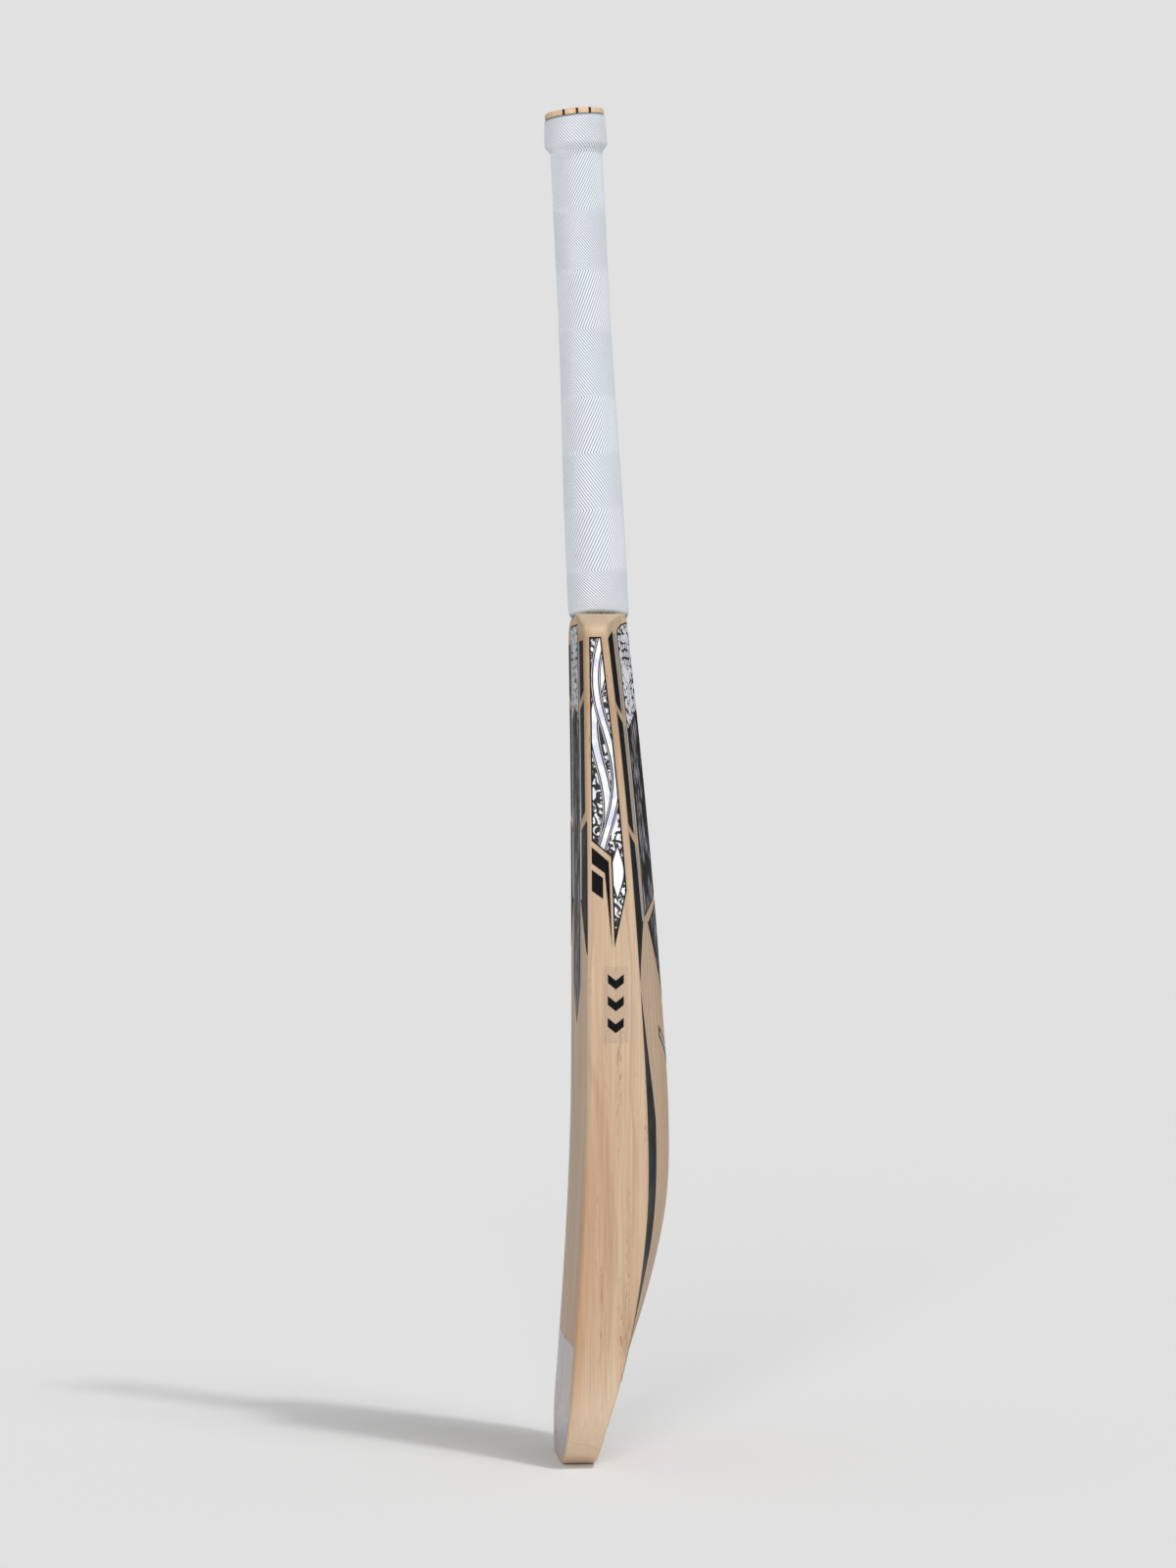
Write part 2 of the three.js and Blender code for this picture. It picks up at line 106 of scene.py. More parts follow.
def booleaned(target, tool, operation):
    # both drafts are used up, and the result comes back as a bmesh
    cut = target.modifiers.new("cut", "BOOLEAN")
    cut.operation = operation
    cut.object = tool
    cut.solver = "EXACT"
    shown = target.evaluated_get(bpy.context.evaluated_depsgraph_get())
    bm = bmesh.new()
    bm.from_mesh(shown.to_mesh())
    shown.to_mesh_clear()
    bpy.data.objects.remove(target)
    bpy.data.objects.remove(tool)
    return bm


def addPiece(bm, name, materials, nodes=(), sharpAngle=35):
    bmesh.ops.scale(bm, vec=(mm, mm, mm), verts=bm.verts)
    piece = draftOf(bm, name)
    for material in materials:
        piece.data.materials.append(material)
    piece.data.shade_smooth()
    piece.data.set_sharp_from_angle(angle=math.radians(sharpAngle))
    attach(piece, "root")
    if nodes:
        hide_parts(*nodes)
    return piece


def markVerts(bm, label, valueOf):
    # a number on every vertex, read by an Attribute node of the same name
    layer = bm.verts.layers.float.get(label) or bm.verts.layers.float.new(label)
    for v in bm.verts:
        v[layer] = valueOf(v)


# helpers for materials

def addNode(tree, kind, inputs=None, **settings):
    node = tree.nodes.new(kind)
    for key, value in settings.items():
        setattr(node, key, value)
    for key, value in (inputs or {}).items():
        if isinstance(value, bpy.types.NodeSocket):
            tree.links.new(value, node.inputs[key])
        elif value is not None:
            node.inputs[key].default_value = value
    return node


def calc(tree, operation, *values, clamp=False):
    inputs = dict(enumerate(values))
    return addNode(tree, "ShaderNodeMath", inputs, operation=operation, use_clamp=clamp).outputs[0]


def wash(tree, share, under, over, blend="MIX"):
    inputs = {0: share, 6: under, 7: over}
    return addNode(tree, "ShaderNodeMix", inputs, data_type="RGBA", blend_type=blend).outputs[2]


def between(tree, value, low, high, toLow=0.0, toHigh=1.0):
    inputs = {0: value, 1: low, 2: high, 3: toLow, 4: toHigh}
    return addNode(tree, "ShaderNodeMapRange", inputs, interpolation_type="SMOOTHSTEP").outputs[0]


def stretched(tree, vector, scale, turn=(0, 0, 0)):
    inputs = {"Vector": vector, "Scale": scale, "Rotation": turn}
    return addNode(tree, "ShaderNodeMapping", inputs).outputs[0]


def cloud(tree, vector, scale=1.0, detail=3.0, roughness=0.5, distortion=0.0):
    inputs = {"Vector": vector, "Scale": scale, "Detail": detail, "Roughness": roughness,
              "Distortion": distortion}
    return addNode(tree, "ShaderNodeTexNoise", inputs).outputs[0]


def tint(hexColour):
    # linear colour from an sRGB hex value
    channels = [((hexColour >> shift) & 255) / 255 for shift in (16, 8, 0)]
    return tuple(c / 12.92 if c <= 0.04045 else ((c + 0.055) / 1.055) ** 2.4 for c in channels) + (1.0,)


def newGroup(name, inputs, outputs):
    group = bpy.data.node_groups.new(name, "ShaderNodeTree")
    for label, kind, value in inputs:
        socket = group.interface.new_socket(label, in_out="INPUT", socket_type="NodeSocket" + kind)
        if value is not None:
            socket.default_value = value
    for label, kind in outputs:
        group.interface.new_socket(label, in_out="OUTPUT", socket_type="NodeSocket" + kind)
    return group, group.nodes.new("NodeGroupInput").outputs, group.nodes.new("NodeGroupOutput").inputs


def useGroup(tree, group, inputs):
    return addNode(tree, "ShaderNodeGroup", inputs, node_tree=group).outputs


def newMaterial(name, constants):
    material = bpy.data.materials.new(name)
    material.use_nodes = True
    tree = material.node_tree
    shader = tree.nodes["Principled BSDF"]
    for key, value in constants.items():
        shader.inputs[key].default_value = value
    return material, tree, shader


def objectPlace(tree):
    return addNode(tree, "ShaderNodeTexCoord").outputs["Object"]


def bumpFrom(tree, height, strength, distance):
    inputs = {"Height": height, "Strength": strength, "Distance": distance}
    return addNode(tree, "ShaderNodeBump", inputs).outputs[0]


def wire(tree, shader, colour, roughness, normal):
    for label, source in (("Base Color", colour), ("Roughness", roughness), ("Normal", normal)):
        tree.links.new(source, shader.inputs[label])


# shared effects

def makeWoodGrain():
    # growth lines, fibres, pores and broad tone from a place in metres; rings is the growth coordinate
    inputs = [("Place", "Vector", None), ("Rings", "Float", 0.0), ("Pale", "Color", tint(0xE3C9A6)),
              ("Deep", "Color", tint(0xC79A6B)), ("Line", "Color", tint(0x8F5F3A)),
              ("Line Strength", "Float", 0.6), ("Fibre Width", "Float", 1500.0), ("Pores", "Float", 0.5)]
    outputs = [("Color", "Color"), ("Roughness", "Float"), ("Height", "Float")]
    group, given, result = newGroup("woodGrain", inputs, outputs)
    place = given["Place"]
    ring = calc(group, "FRACT", given["Rings"])
    late = between(group, ring, 0.45, 0.97)
    cutOff = between(group, ring, 0.97, 1.0, 1.0, 0.0)
    lateWood = calc(group, "MULTIPLY", calc(group, "POWER", late, 3.0), cutOff)
    line = calc(group, "MULTIPLY", between(group, ring, 0.9, 0.96), cutOff)
    width = given["Fibre Width"]
    alongGrain = calc(group, "MULTIPLY", width, 0.014)
    fibreScale = addNode(group, "ShaderNodeCombineXYZ", {0: width, 1: width, 2: alongGrain}).outputs[0]
    fibrePlace = addNode(group, "ShaderNodeVectorMath", {0: place, 1: fibreScale}, operation="MULTIPLY")
    fibre = cloud(group, fibrePlace.outputs[0], 1.0, 4.0, 0.65)
    streak = cloud(group, stretched(group, place, (420, 420, 7)), 1.0, 3.0, 0.6)
    tone = cloud(group, stretched(group, place, (38, 38, 5)), 1.0, 2.0, 0.5)
    poreSeed = cloud(group, stretched(group, place, (1000, 1000, 150)), 1.0, 2.0, 0.7)
    poreField = cloud(group, stretched(group, place, (150, 150, 7)), 1.0, 3.0, 0.6)
    pore = calc(group, "MULTIPLY", between(group, poreSeed, 0.52, 0.66), between(group, poreField, 0.5, 0.68))
    pore = calc(group, "MULTIPLY", pore, given["Pores"])
    base = wash(group, between(group, tone, 0.3, 0.7), given["Pale"], given["Deep"])
    streakShare = calc(group, "MULTIPLY", between(group, streak, 0.42, 0.72), 0.45)
    base = wash(group, streakShare, base, given["Deep"])
    base = wash(group, calc(group, "MULTIPLY", lateWood, given["Line Strength"]), base, given["Deep"])
    base = wash(group, calc(group, "MULTIPLY", line, given["Line Strength"]), base, given["Line"])
    base = wash(group, pore, base, given["Line"])
    fibreTone = between(group, fibre, 0.25, 0.75, 0.84, 1.1)
    shade = addNode(group, "ShaderNodeCombineXYZ", {0: fibreTone, 1: fibreTone, 2: fibreTone}).outputs[0]
    base = wash(group, 1.0, base, shade, "MULTIPLY")
    group.links.new(base, result["Color"])
    group.links.new(between(group, fibre, 0.2, 0.8, 0.42, 0.6), result["Roughness"])
    height = calc(group, "SUBTRACT", fibre, calc(group, "MULTIPLY", pore, 1.5))
    group.links.new(height, result["Height"])
    return group


def makeHandling():
    # faint dust, rub marks and unevenness that stickers and rubber pick up
    inputs = [("Place", "Vector", None), ("Base", "Color", (0.5, 0.5, 0.5, 1.0)),
              ("Dust", "Color", tint(0xB9B6B0)), ("Amount", "Float", 0.3), ("Gloss Low", "Float", 0.3),
              ("Gloss High", "Float", 0.5)]
    outputs = [("Color", "Color"), ("Roughness", "Float"), ("Height", "Float")]
    group, given, result = newGroup("handling", inputs, outputs)
    place = given["Place"]
    patch = cloud(group, place, 45.0, 4.0, 0.6)
    speck = cloud(group, place, 1600.0, 2.0, 0.7)
    rub = cloud(group, stretched(group, place, (260, 260, 900), (0.3, 0.2, 0)), 1.0, 3.0, 0.7)
    dust = calc(group, "MULTIPLY", between(group, patch, 0.45, 0.75), between(group, speck, 0.45, 0.8))
    dust = calc(group, "ADD", dust, calc(group, "MULTIPLY", between(group, rub, 0.66, 0.8), 0.35))
    dust = calc(group, "MULTIPLY", dust, given["Amount"], clamp=True)
    group.links.new(wash(group, dust, given["Base"], given["Dust"]), result["Color"])
    limits = {0: patch, 1: 0.3, 2: 0.7, 3: given["Gloss Low"], 4: given["Gloss High"]}
    gloss = addNode(group, "ShaderNodeMapRange", limits).outputs[0]
    gloss = calc(group, "ADD", gloss, calc(group, "MULTIPLY", dust, 0.3))
    group.links.new(gloss, result["Roughness"])
    group.links.new(calc(group, "ADD", patch, calc(group, "MULTIPLY", speck, 0.15)), result["Height"])
    return group


woodGrain = makeWoodGrain()
handling = makeHandling()


def handled(tree, place, base, dust, amount, glossLow, glossHigh):
    return useGroup(tree, handling, {"Place": place, "Base": base, "Dust": dust, "Amount": amount,
                                     "Gloss Low": glossLow, "Gloss High": glossHigh})


# blade: the outer surface from curves over shares of its height

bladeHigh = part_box("blade")[1]
blade = {
    "halfWidth": bladeHigh.x / mm,
    "height": bladeHigh.z / mm,
    "edgeDepth": 40,
    "spineRise": 19,
    "facePlane": 3,
    "toeSweep": 12.1,
    "crown": 1.2,
    "spineRadius": 9,
    "hollow": 1.15,
    "faceCorner": 3,
    "backCorner": 1.2,
    "toeFlat": 19.5,
    "toeCorner": (34, 37),
    "toeEdge": 1.3,
    "shoulderStart": 515,
    "shoulderTurn": 523,
    "shoulderBend": 524.97,
    "shoulderIn": 8,
    "neck": 17,
    "shoulderFaceCorner": 5.5,
    "shoulderBackCorner": 5,
    "spliceLength": 145,
    "spliceGap": 0.12,
}
halfWidth = blade["halfWidth"]
bladeTop = blade["height"]
toeSweepShape = curveThrough([(0, 1), (0.05, 0.92), (0.1, 0.76), (0.2, 0.45), (0.3, 0.2), (0.4, 0.04),
                              (0.5, 0), (0.7, 0), (0.85, 0.06), (1, 0.16)])
edgeShape = curveThrough([(0, 0.46), (0.05, 0.6), (0.1, 0.75), (0.2, 0.93), (0.3, 1), (0.4, 0.955),
                          (0.6, 0.79), (0.8, 0.585), (1, 0.32)])
spineShape = curveThrough([(0, 0.1), (0.1, 0.27), (0.2, 0.62), (0.3, 0.92), (0.36, 1), (0.6, 0.98),
                           (0.8, 0.95), (1, 1)])


def faceAt(z):
    return blade["facePlane"] - blade["toeSweep"] * toeSweepShape(z / bladeTop)


def crownAt(x):
    return blade["crown"] * max(0, 1 - (x / (halfWidth - blade["faceCorner"])) ** 2)


def backCornerAt(z):
    return faceAt(z) + blade["edgeDepth"] * edgeShape(z / bladeTop)


def spineAt(z):
    return backCornerAt(z) + blade["spineRise"] * spineShape(z / bladeTop)


def backAt(x, z):
    radius = blade["spineRadius"]
    bend = math.hypot(x, radius) - radius
    fullBend = math.hypot(halfWidth, radius) - radius
    share = (1 - min(1, bend / fullBend)) ** blade["hollow"]
    return mix(backCornerAt(z), spineAt(z), share)


def bladeLevels():
    # height, half width, face and back corner radius, and how far the toe's edge is rounded in
    toeWide, toeHigh = blade["toeCorner"]
    edge = blade["toeEdge"]
    toeSteps, bodySteps, turnSteps, slopeSteps = 14, 116, 8, 12
    levels = []
    for i in range(toeSteps + 1):
        angle = math.radians(90 * i / toeSteps)
        z = toeHigh * (1 - math.cos(angle))
        inset = edge - math.sqrt(edge ** 2 - max(0, edge - z) ** 2)
        levels.append((z, blade["toeFlat"] + toeWide * math.sin(angle) - 0.4 * inset, inset))
    for i in range(1, bodySteps + 1):
        levels.append((mix(toeHigh, blade["shoulderStart"], i / bodySteps), halfWidth, 0))
    turn, shoulderIn = blade["shoulderTurn"], blade["shoulderIn"]
    for i in range(1, turnSteps + 1):
        t = i / turnSteps
        z = mix(mix(blade["shoulderStart"], turn, t), mix(turn, blade["shoulderBend"], t), t)
        levels.append((z, halfWidth - shoulderIn * t * t, 0))
    for i in range(1, slopeSteps + 1):
        t = i / slopeSteps
        z = mix(blade["shoulderBend"], bladeTop, t)
        levels.append((z, mix(halfWidth - shoulderIn, blade["neck"], t), 0))
    return levels


faceSteps = 14
cornerSteps = 5
sideSteps = 8
backCornerSteps = 4
flankSteps = 26


def halfSection(z, half, inset):
    # from the middle of the face round the right corner and edge to the spine
    opening = smoothStep(z, 500, 524)
    faceRadius = mix(blade["faceCorner"], blade["shoulderFaceCorner"], opening)
    backRadius = mix(blade["backCorner"], blade["shoulderBackCorner"], opening)
    points = []
    flatHalf = half - faceRadius
    front = faceAt(z) + inset
    for i in range(faceSteps):
        x = flatHalf * i / faceSteps
        points.append(Vector((x, front - crownAt(x), z)))
    centreY = front - crownAt(flatHalf) + faceRadius
    for i in range(cornerSteps):
        angle = math.radians(-90 + 90 * i / cornerSteps)
        points.append(Vector((flatHalf + faceRadius * math.cos(angle),
                              centreY + faceRadius * math.sin(angle), z)))
    slope = backAt(half - 1.5, z) - backAt(half - 0.5, z)
    end = math.pi / 2 - math.atan(slope)
    endX = half - backRadius + backRadius * math.cos(end)
    backCentre = backAt(endX, z) - inset - backRadius * math.sin(end)
    for i in range(sideSteps):
        points.append(Vector((half, mix(centreY, backCentre, i / sideSteps), z)))
    for i in range(backCornerSteps):
        angle = end * i / backCornerSteps
        points.append(Vector((half - backRadius + backRadius * math.cos(angle),
                              backCentre + backRadius * math.sin(angle), z)))
    for i in range(flankSteps, -1, -1):
        x = endX * (i / flankSteps) ** 1.2
        points.append(Vector((x, backAt(x, z) - inset, z)))
    return points


def makeBladeSkin():
    sections = [halfSection(*level) for level in bladeLevels()]
    last = len(sections[0]) - 1

    def pointAt(column, row):
        point = sections[row][column if column <= last else 2 * last - column]
        return point if column <= last else Vector((-point.x, point.y, point.z))

    return closeUp(gridOnto(2 * last, len(sections) - 1, pointAt))


def splicePrism(spare, top):
    # the V of the splice, through the whole depth of the blade
    tip = 1 + spare
    bottom = bladeTop - blade["spliceLength"] - spare
    growth = (blade["neck"] - 1) / blade["spliceLength"]
    wide = blade["neck"] + spare + growth * (top - bladeTop)
    bm = bmesh.new()
    outline = ((-tip, bottom), (tip, bottom), (wide, top), (-wide, top))
    front = bm.faces.new([bm.verts.new((x, -80, z)) for x, z in outline])
    pulled = bmesh.ops.extrude_face_region(bm, geom=[front])["geom"]
    bmesh.ops.translate(bm, vec=(0, 180, 0), verts=[v for v in pulled if isinstance(v, bmesh.types.BMVert)])
    bmesh.ops.recalc_face_normals(bm, faces=bm.faces)
    return bm


def makeWillow():
    material, tree, shader = newMaterial("willow", {"Coat Weight": 0.08, "Coat Roughness": 0.35,
                                                    "Specular IOR Level": 0.4})
    place = objectPlace(tree)
    apart = addNode(tree, "ShaderNodeSeparateXYZ", {0: place})
    x, y, z = apart.outputs[0], apart.outputs[1], apart.outputs[2]
    # growth layers are wide arcs seen from the toe, 9 mm apart, that wander slowly up the blade
    wander = cloud(tree, stretched(tree, place, (6, 22, 2.6)), 1.0, 3.0, 0.55)
    fine = cloud(tree, stretched(tree, place, (30, 60, 9)), 1.0, 2.0, 0.5)
    offset = calc(tree, "SUBTRACT", y, 0.016)
    bow = calc(tree, "MULTIPLY", calc(tree, "MULTIPLY", offset, offset), -13.0)
    rings = calc(tree, "ADD", x, bow)
    for noise, reach in ((wander, 0.016), (fine, 0.0022)):
        shift = calc(tree, "MULTIPLY", calc(tree, "SUBTRACT", noise, 0.5), reach)
        rings = calc(tree, "ADD", rings, shift)
    rings = calc(tree, "ADD", calc(tree, "DIVIDE", rings, 0.0092), 100.23)
    # the lines are cut square on the face and the back, and only grazed on the edges
    fromMiddle = calc(tree, "ABSOLUTE", x)
    lineShow = between(tree, fromMiddle, halfWidth * mm - 0.004, halfWidth * mm - 0.0004, 0.6, 0.2)
    grain = useGroup(tree, woodGrain, {
        "Place": place, "Rings": rings, "Pale": tint(0xCAB195), "Deep": tint(0xBD9C7E),
        "Line": tint(0x936D54), "Line Strength": lineShow, "Fibre Width": 1150.0, "Pores": 0.75})
    # the lower front corner is tinted a darker orange
    cornerTint = addNode(tree, "ShaderNodeAttribute", attribute_name="cornerTint").outputs["Fac"]
    colour = wash(tree, calc(tree, "MULTIPLY", cornerTint, 0.45), grain["Color"], tint(0xB5855B))
    endGrain = addNode(tree, "ShaderNodeAttribute", attribute_name="endGrain").outputs["Fac"]
    colour = wash(tree, calc(tree, "MULTIPLY", endGrain, 0.55), colour, tint(0xD0B99C))
    # the wood is paler towards the toe
    colour = wash(tree, between(tree, z, 0.0, 0.08, 0.5, 0.0), colour, tint(0xDCC7AF))
    wire(tree, shader, colour, grain["Roughness"], bumpFrom(tree, grain["Height"], 0.25, 0.0002))
    return material


print("blade")
willow = makeWillow()
bladeSkin = makeBladeSkin()
wedgeSkin = bladeSkin.copy()
splicePlug = splicePrism(blade["spliceGap"], bladeTop + 20)
bladeMesh = booleaned(draftOf(bladeSkin, "bladeDraft"), draftOf(splicePlug, "slot"), "DIFFERENCE")


def cornerTintOf(v):
    # the front corner is darker and more orange over the lower part of the blade
    beside = abs(v.co.x) - (halfWidth - 2.6)
    isFront = v.co.y < faceAt(v.co.z) + 4.5
    return smoothStep(beside, 0, 1.5) * smoothStep(v.co.z, 235, 170) if isFront else 0


markVerts(bladeMesh, "cornerTint", cornerTintOf)
markVerts(bladeMesh, "endGrain", lambda v: smoothStep(v.co.z, 515, 521))
bmesh.ops.recalc_face_normals(bladeMesh, faces=bladeMesh.faces)
addPiece(bladeMesh, "bladeCleft", [willow], ["blade"])


# handle: its axes, its cane core with the V at its foot, and the slices

handle = {
    "lean": math.radians(2.8),
    "foot": (0, 15.7, 532),
    "oval": 0.93,
    "length": 317.5,
    "baseRadius": 16.4,
    "topRadius": 13.7,
    "taper": (30, 200),
    "flare": (289, 296, 3.2),
    "capRadius": 18.7,
    "capHeight": 3.7,
    "capRounding": 1.5,
    "topSlant": math.tan(math.radians(3.2)),
    "stripSpacing": 8.3,
    "stripThickness": 1.5,
    "caneCut": 5.67,
    "glueGap": 0.05,
}
handlePlace = Matrix.Translation(handle["foot"]) @ Matrix.Rotation(handle["lean"], 4, "X")
gripEnd = handle["length"] - handle["capHeight"]


def taperRadius(along):
    return mix(handle["baseRadius"], handle["topRadius"], smoothStep(along, *handle["taper"]))


def coreRadius(along):
    low, high, rise = handle["flare"]
    return taperRadius(along) + rise * smoothStep(along, low, high)


def handlePoint(angle, radius, along, slant=0):
    y = radius * math.sin(angle)
    return handlePlace @ Vector((handle["oval"] * radius * math.cos(angle), y, along + slant * y))


def makeShaft():
    cap = handle["capRadius"]
    rounding = handle["capRounding"]
    rows = [(-6, 12.5, 0), (0.5, 15.6, 0), (2, handle["baseRadius"], 0)]
    stations = [10, 30, 55, 80, 105, 130, 155, 180, 200, 240, 280, 289, 291, 292.5, 294, 296, 305]
    rows += [(s, coreRadius(s), 0) for s in stations]
    slant = handle["topSlant"]
    rows += [(gripEnd - 0.2, coreRadius(gripEnd), slant), (gripEnd + 0.1, cap - 0.25, slant),
             (gripEnd + 0.4, cap, slant)]
    for i in range(6):
        angle = math.radians(90 * i / 5)
        along = handle["length"] - rounding + rounding * math.sin(angle)
        rows.append((along, cap - rounding + rounding * math.cos(angle), slant))
    steps = 96

    def pointAt(column, row):
        along, radius, rowSlant = rows[row]
        return handlePoint(2 * math.pi * (column % steps) / steps, radius, along, rowSlant)

    return closeUp(gridOnto(steps, len(rows) - 1, pointAt))


def makeCore():
    vee = splicePrism(0, bladeTop + 2)
    wedge = booleaned(draftOf(wedgeSkin, "wedgeDraft"), draftOf(vee, "vee"), "INTERSECT")
    return booleaned(draftOf(wedge, "wedge"), draftOf(makeShaft(), "shaft"), "UNION")


def sliceOf(core, cuts):
    # keeps what lies against each cut's direction, and closes the cut
    bm = core.copy()
    for point, direction in cuts:
        where = handlePlace @ Vector(point)
        facing = handlePlace.to_3x3() @ Vector(direction)
        bmesh.ops.bisect_plane(bm, geom=[*bm.verts, *bm.edges, *bm.faces], dist=0.0001, plane_co=where,
                               plane_no=facing, clear_outer=True)
        closeUp(bm)
    return bm


def makeCane():
    material, tree, shader = newMaterial("cane", {"Specular IOR Level": 0.45, "Coat Weight": 0.05})
    place = objectPlace(tree)
    leaned = stretched(tree, place, (1, 1, 1), (-handle["lean"], 0, 0))
    apart = addNode(tree, "ShaderNodeSeparateXYZ", {0: leaned})
    tone = addNode(tree, "ShaderNodeAttribute", attribute_name="caneTone").outputs["Fac"]
    slow = cloud(tree, stretched(tree, leaned, (60, 60, 8)), 1.0, 2.0, 0.5)
    rings = calc(tree, "MULTIPLY", apart.outputs[1], 240.0)
    rings = calc(tree, "ADD", rings, calc(tree, "MULTIPLY", slow, 2.0))
    rings = calc(tree, "ADD", rings, tone)
    grain = useGroup(tree, woodGrain, {
        "Place": leaned, "Rings": rings, "Pale": tint(0xEBD4B8), "Deep": tint(0xDCBB95),
        "Line": tint(0x8A5F40), "Line Strength": 0.3, "Fibre Width": 2300.0, "Pores": 0.9})
    colour = wash(tree, calc(tree, "MULTIPLY", tone, 0.35), grain["Color"], tint(0xCB9C70))
    wire(tree, shader, colour, grain["Roughness"], bumpFrom(tree, grain["Height"], 0.4, 0.0002))
    return material


def makeStripRubber():
    material, tree, shader = newMaterial("stripRubber", {"Specular IOR Level": 0.4})
    place = objectPlace(tree)
    grains = cloud(tree, place, 2600.0, 3.0, 0.7)
    base = wash(tree, between(tree, grains, 0.35, 0.75), tint(0x2E130D), tint(0x4A2418))
    feel = handled(tree, place, base, tint(0xA08C78), 0.2, 0.6, 0.8)
    wire(tree, shader, feel["Color"], feel["Roughness"], bumpFrom(tree, grains, 0.3, 0.0002))
    return material


print("handle")
cane = makeCane()
stripRubber = makeStripRubber()
core = makeCore()
halfStrip = handle["stripThickness"] / 2
spacing = handle["stripSpacing"]
for i, y in enumerate((-spacing, 0, spacing)):
    strip = sliceOf(core, [((0, y + halfStrip, 0), (0, 1, 0)), ((0, y - halfStrip, 0), (0, -1, 0))])
    number = str(i + 1)
    addPiece(strip, "rubberStrip" + number, [stripRubber], ["rubber_strip_" + number])

toneSeed = random.Random(7)
gap = handle["glueGap"]
slipLimits = [(None, -spacing - halfStrip), (-spacing + halfStrip, -halfStrip),
              (halfStrip, spacing - halfStrip), (spacing + halfStrip, None)]
caneLimits = [(None, -handle["caneCut"]), (-handle["caneCut"], handle["caneCut"]), (handle["caneCut"], None)]
for slip, (low, high) in enumerate(slipLimits):
    for across, (left, right) in enumerate(caneLimits):
        cuts = []
        if low is not None:
            cuts.append(((0, low + gap, 0), (0, -1, 0)))
        if high is not None:
            cuts.append(((0, high - gap, 0), (0, 1, 0)))
        if left is not None:
            cuts.append(((left + gap, 0, 0), (-1, 0, 0)))
        if right is not None:
            cuts.append(((right - gap, 0, 0), (1, 0, 0)))
        piece = sliceOf(core, cuts)
        tone = toneSeed.random()
        markVerts(piece, "caneTone", lambda v: tone)
        number = str(slip + 1) + "_" + str(across + 1)
        addPiece(piece, "cane" + number, [cane], ["cane_slip_" + number])
core.free()


def makeTwine():
    material, tree, shader = newMaterial("twine", {"Sheen Weight": 0.3})
    place = objectPlace(tree)
    leaned = stretched(tree, place, (1, 1, 1), (-handle["lean"], 0, 0))
    turns = addNode(tree, "ShaderNodeSeparateXYZ", {0: leaned}).outputs[2]
    wave = calc(tree, "SINE", calc(tree, "MULTIPLY", turns, 2 * math.pi / 0.0009))
    fuzz = cloud(tree, place, 3000.0, 3.0, 0.7)
    # the twine is painted darker in the hollows between its turns: painted shade, from the same wave that
    # shapes the turns
    base = wash(tree, between(tree, wave, -1, 1), tint(0xB9AC8E), tint(0xE9E0CB))
    base = wash(tree, between(tree, fuzz, 0.3, 0.7, 0, 0.3), base, tint(0xCDBF9F))
    wire(tree, shader, base, between(tree, fuzz, 0.2, 0.8, 0.75, 0.95),
         bumpFrom(tree, calc(tree, "ADD", wave, fuzz), 0.6, 0.0003))
    return material


# the binding lies hidden under the grip, so the frame's own sleeve is kept
twine = makeTwine()
binding = bpy.data.objects["twine_binding"]
for slotOf in binding.material_slots:
    slotOf.material = twine


# grip: one rubber sleeve whose ribs change direction from band to band

grip = {
    "start": 0.5,
    "dip": 2.4,
    "dipFade": 9,
    "inside": 1.1,
    "overCore": 2.7,
    "ribs": 60,
    "ribColumns": 6,
    "ribHeight": 0.5,
    "rowStep": 2.4,
    "bands": [(0, -44), (27, 61), (65, -55), (101, 62), (136, -54), (179, 66), (215.5, -50), (254, 60),
              (291, -46)],
    "collar": (290.5, 296.5),
    "collarRadius": 19.9,
    "rimRadius": 19.1,
}


def gripRadius(along):
    low, high = grip["collar"]
    collar = mix(grip["collarRadius"], grip["rimRadius"], max(0, along - high) / (gripEnd - high))
    return mix(taperRadius(along) + grip["overCore"], collar, smoothStep(along, low, high))


def gripStations():
    # places along the grip with the twist reached there, rows falling on every change of direction
    bands = grip["bands"] + [(gripEnd, 0)]
    stations = []
    twist = 0
    for (start, lean), (end, _) in zip(bands, bands[1:]):
        start = max(start, grip["start"])
        steps = max(1, round((end - start) / (grip["rowStep"] if start < 288 else 0.9)))
        for i in range(steps):
            along = mix(start, end, i / steps)
            stations.append((along, twist))
            twist += (end - start) / steps / (math.tan(math.radians(lean)) * gripRadius(along))
    return stations + [(gripEnd, twist)]


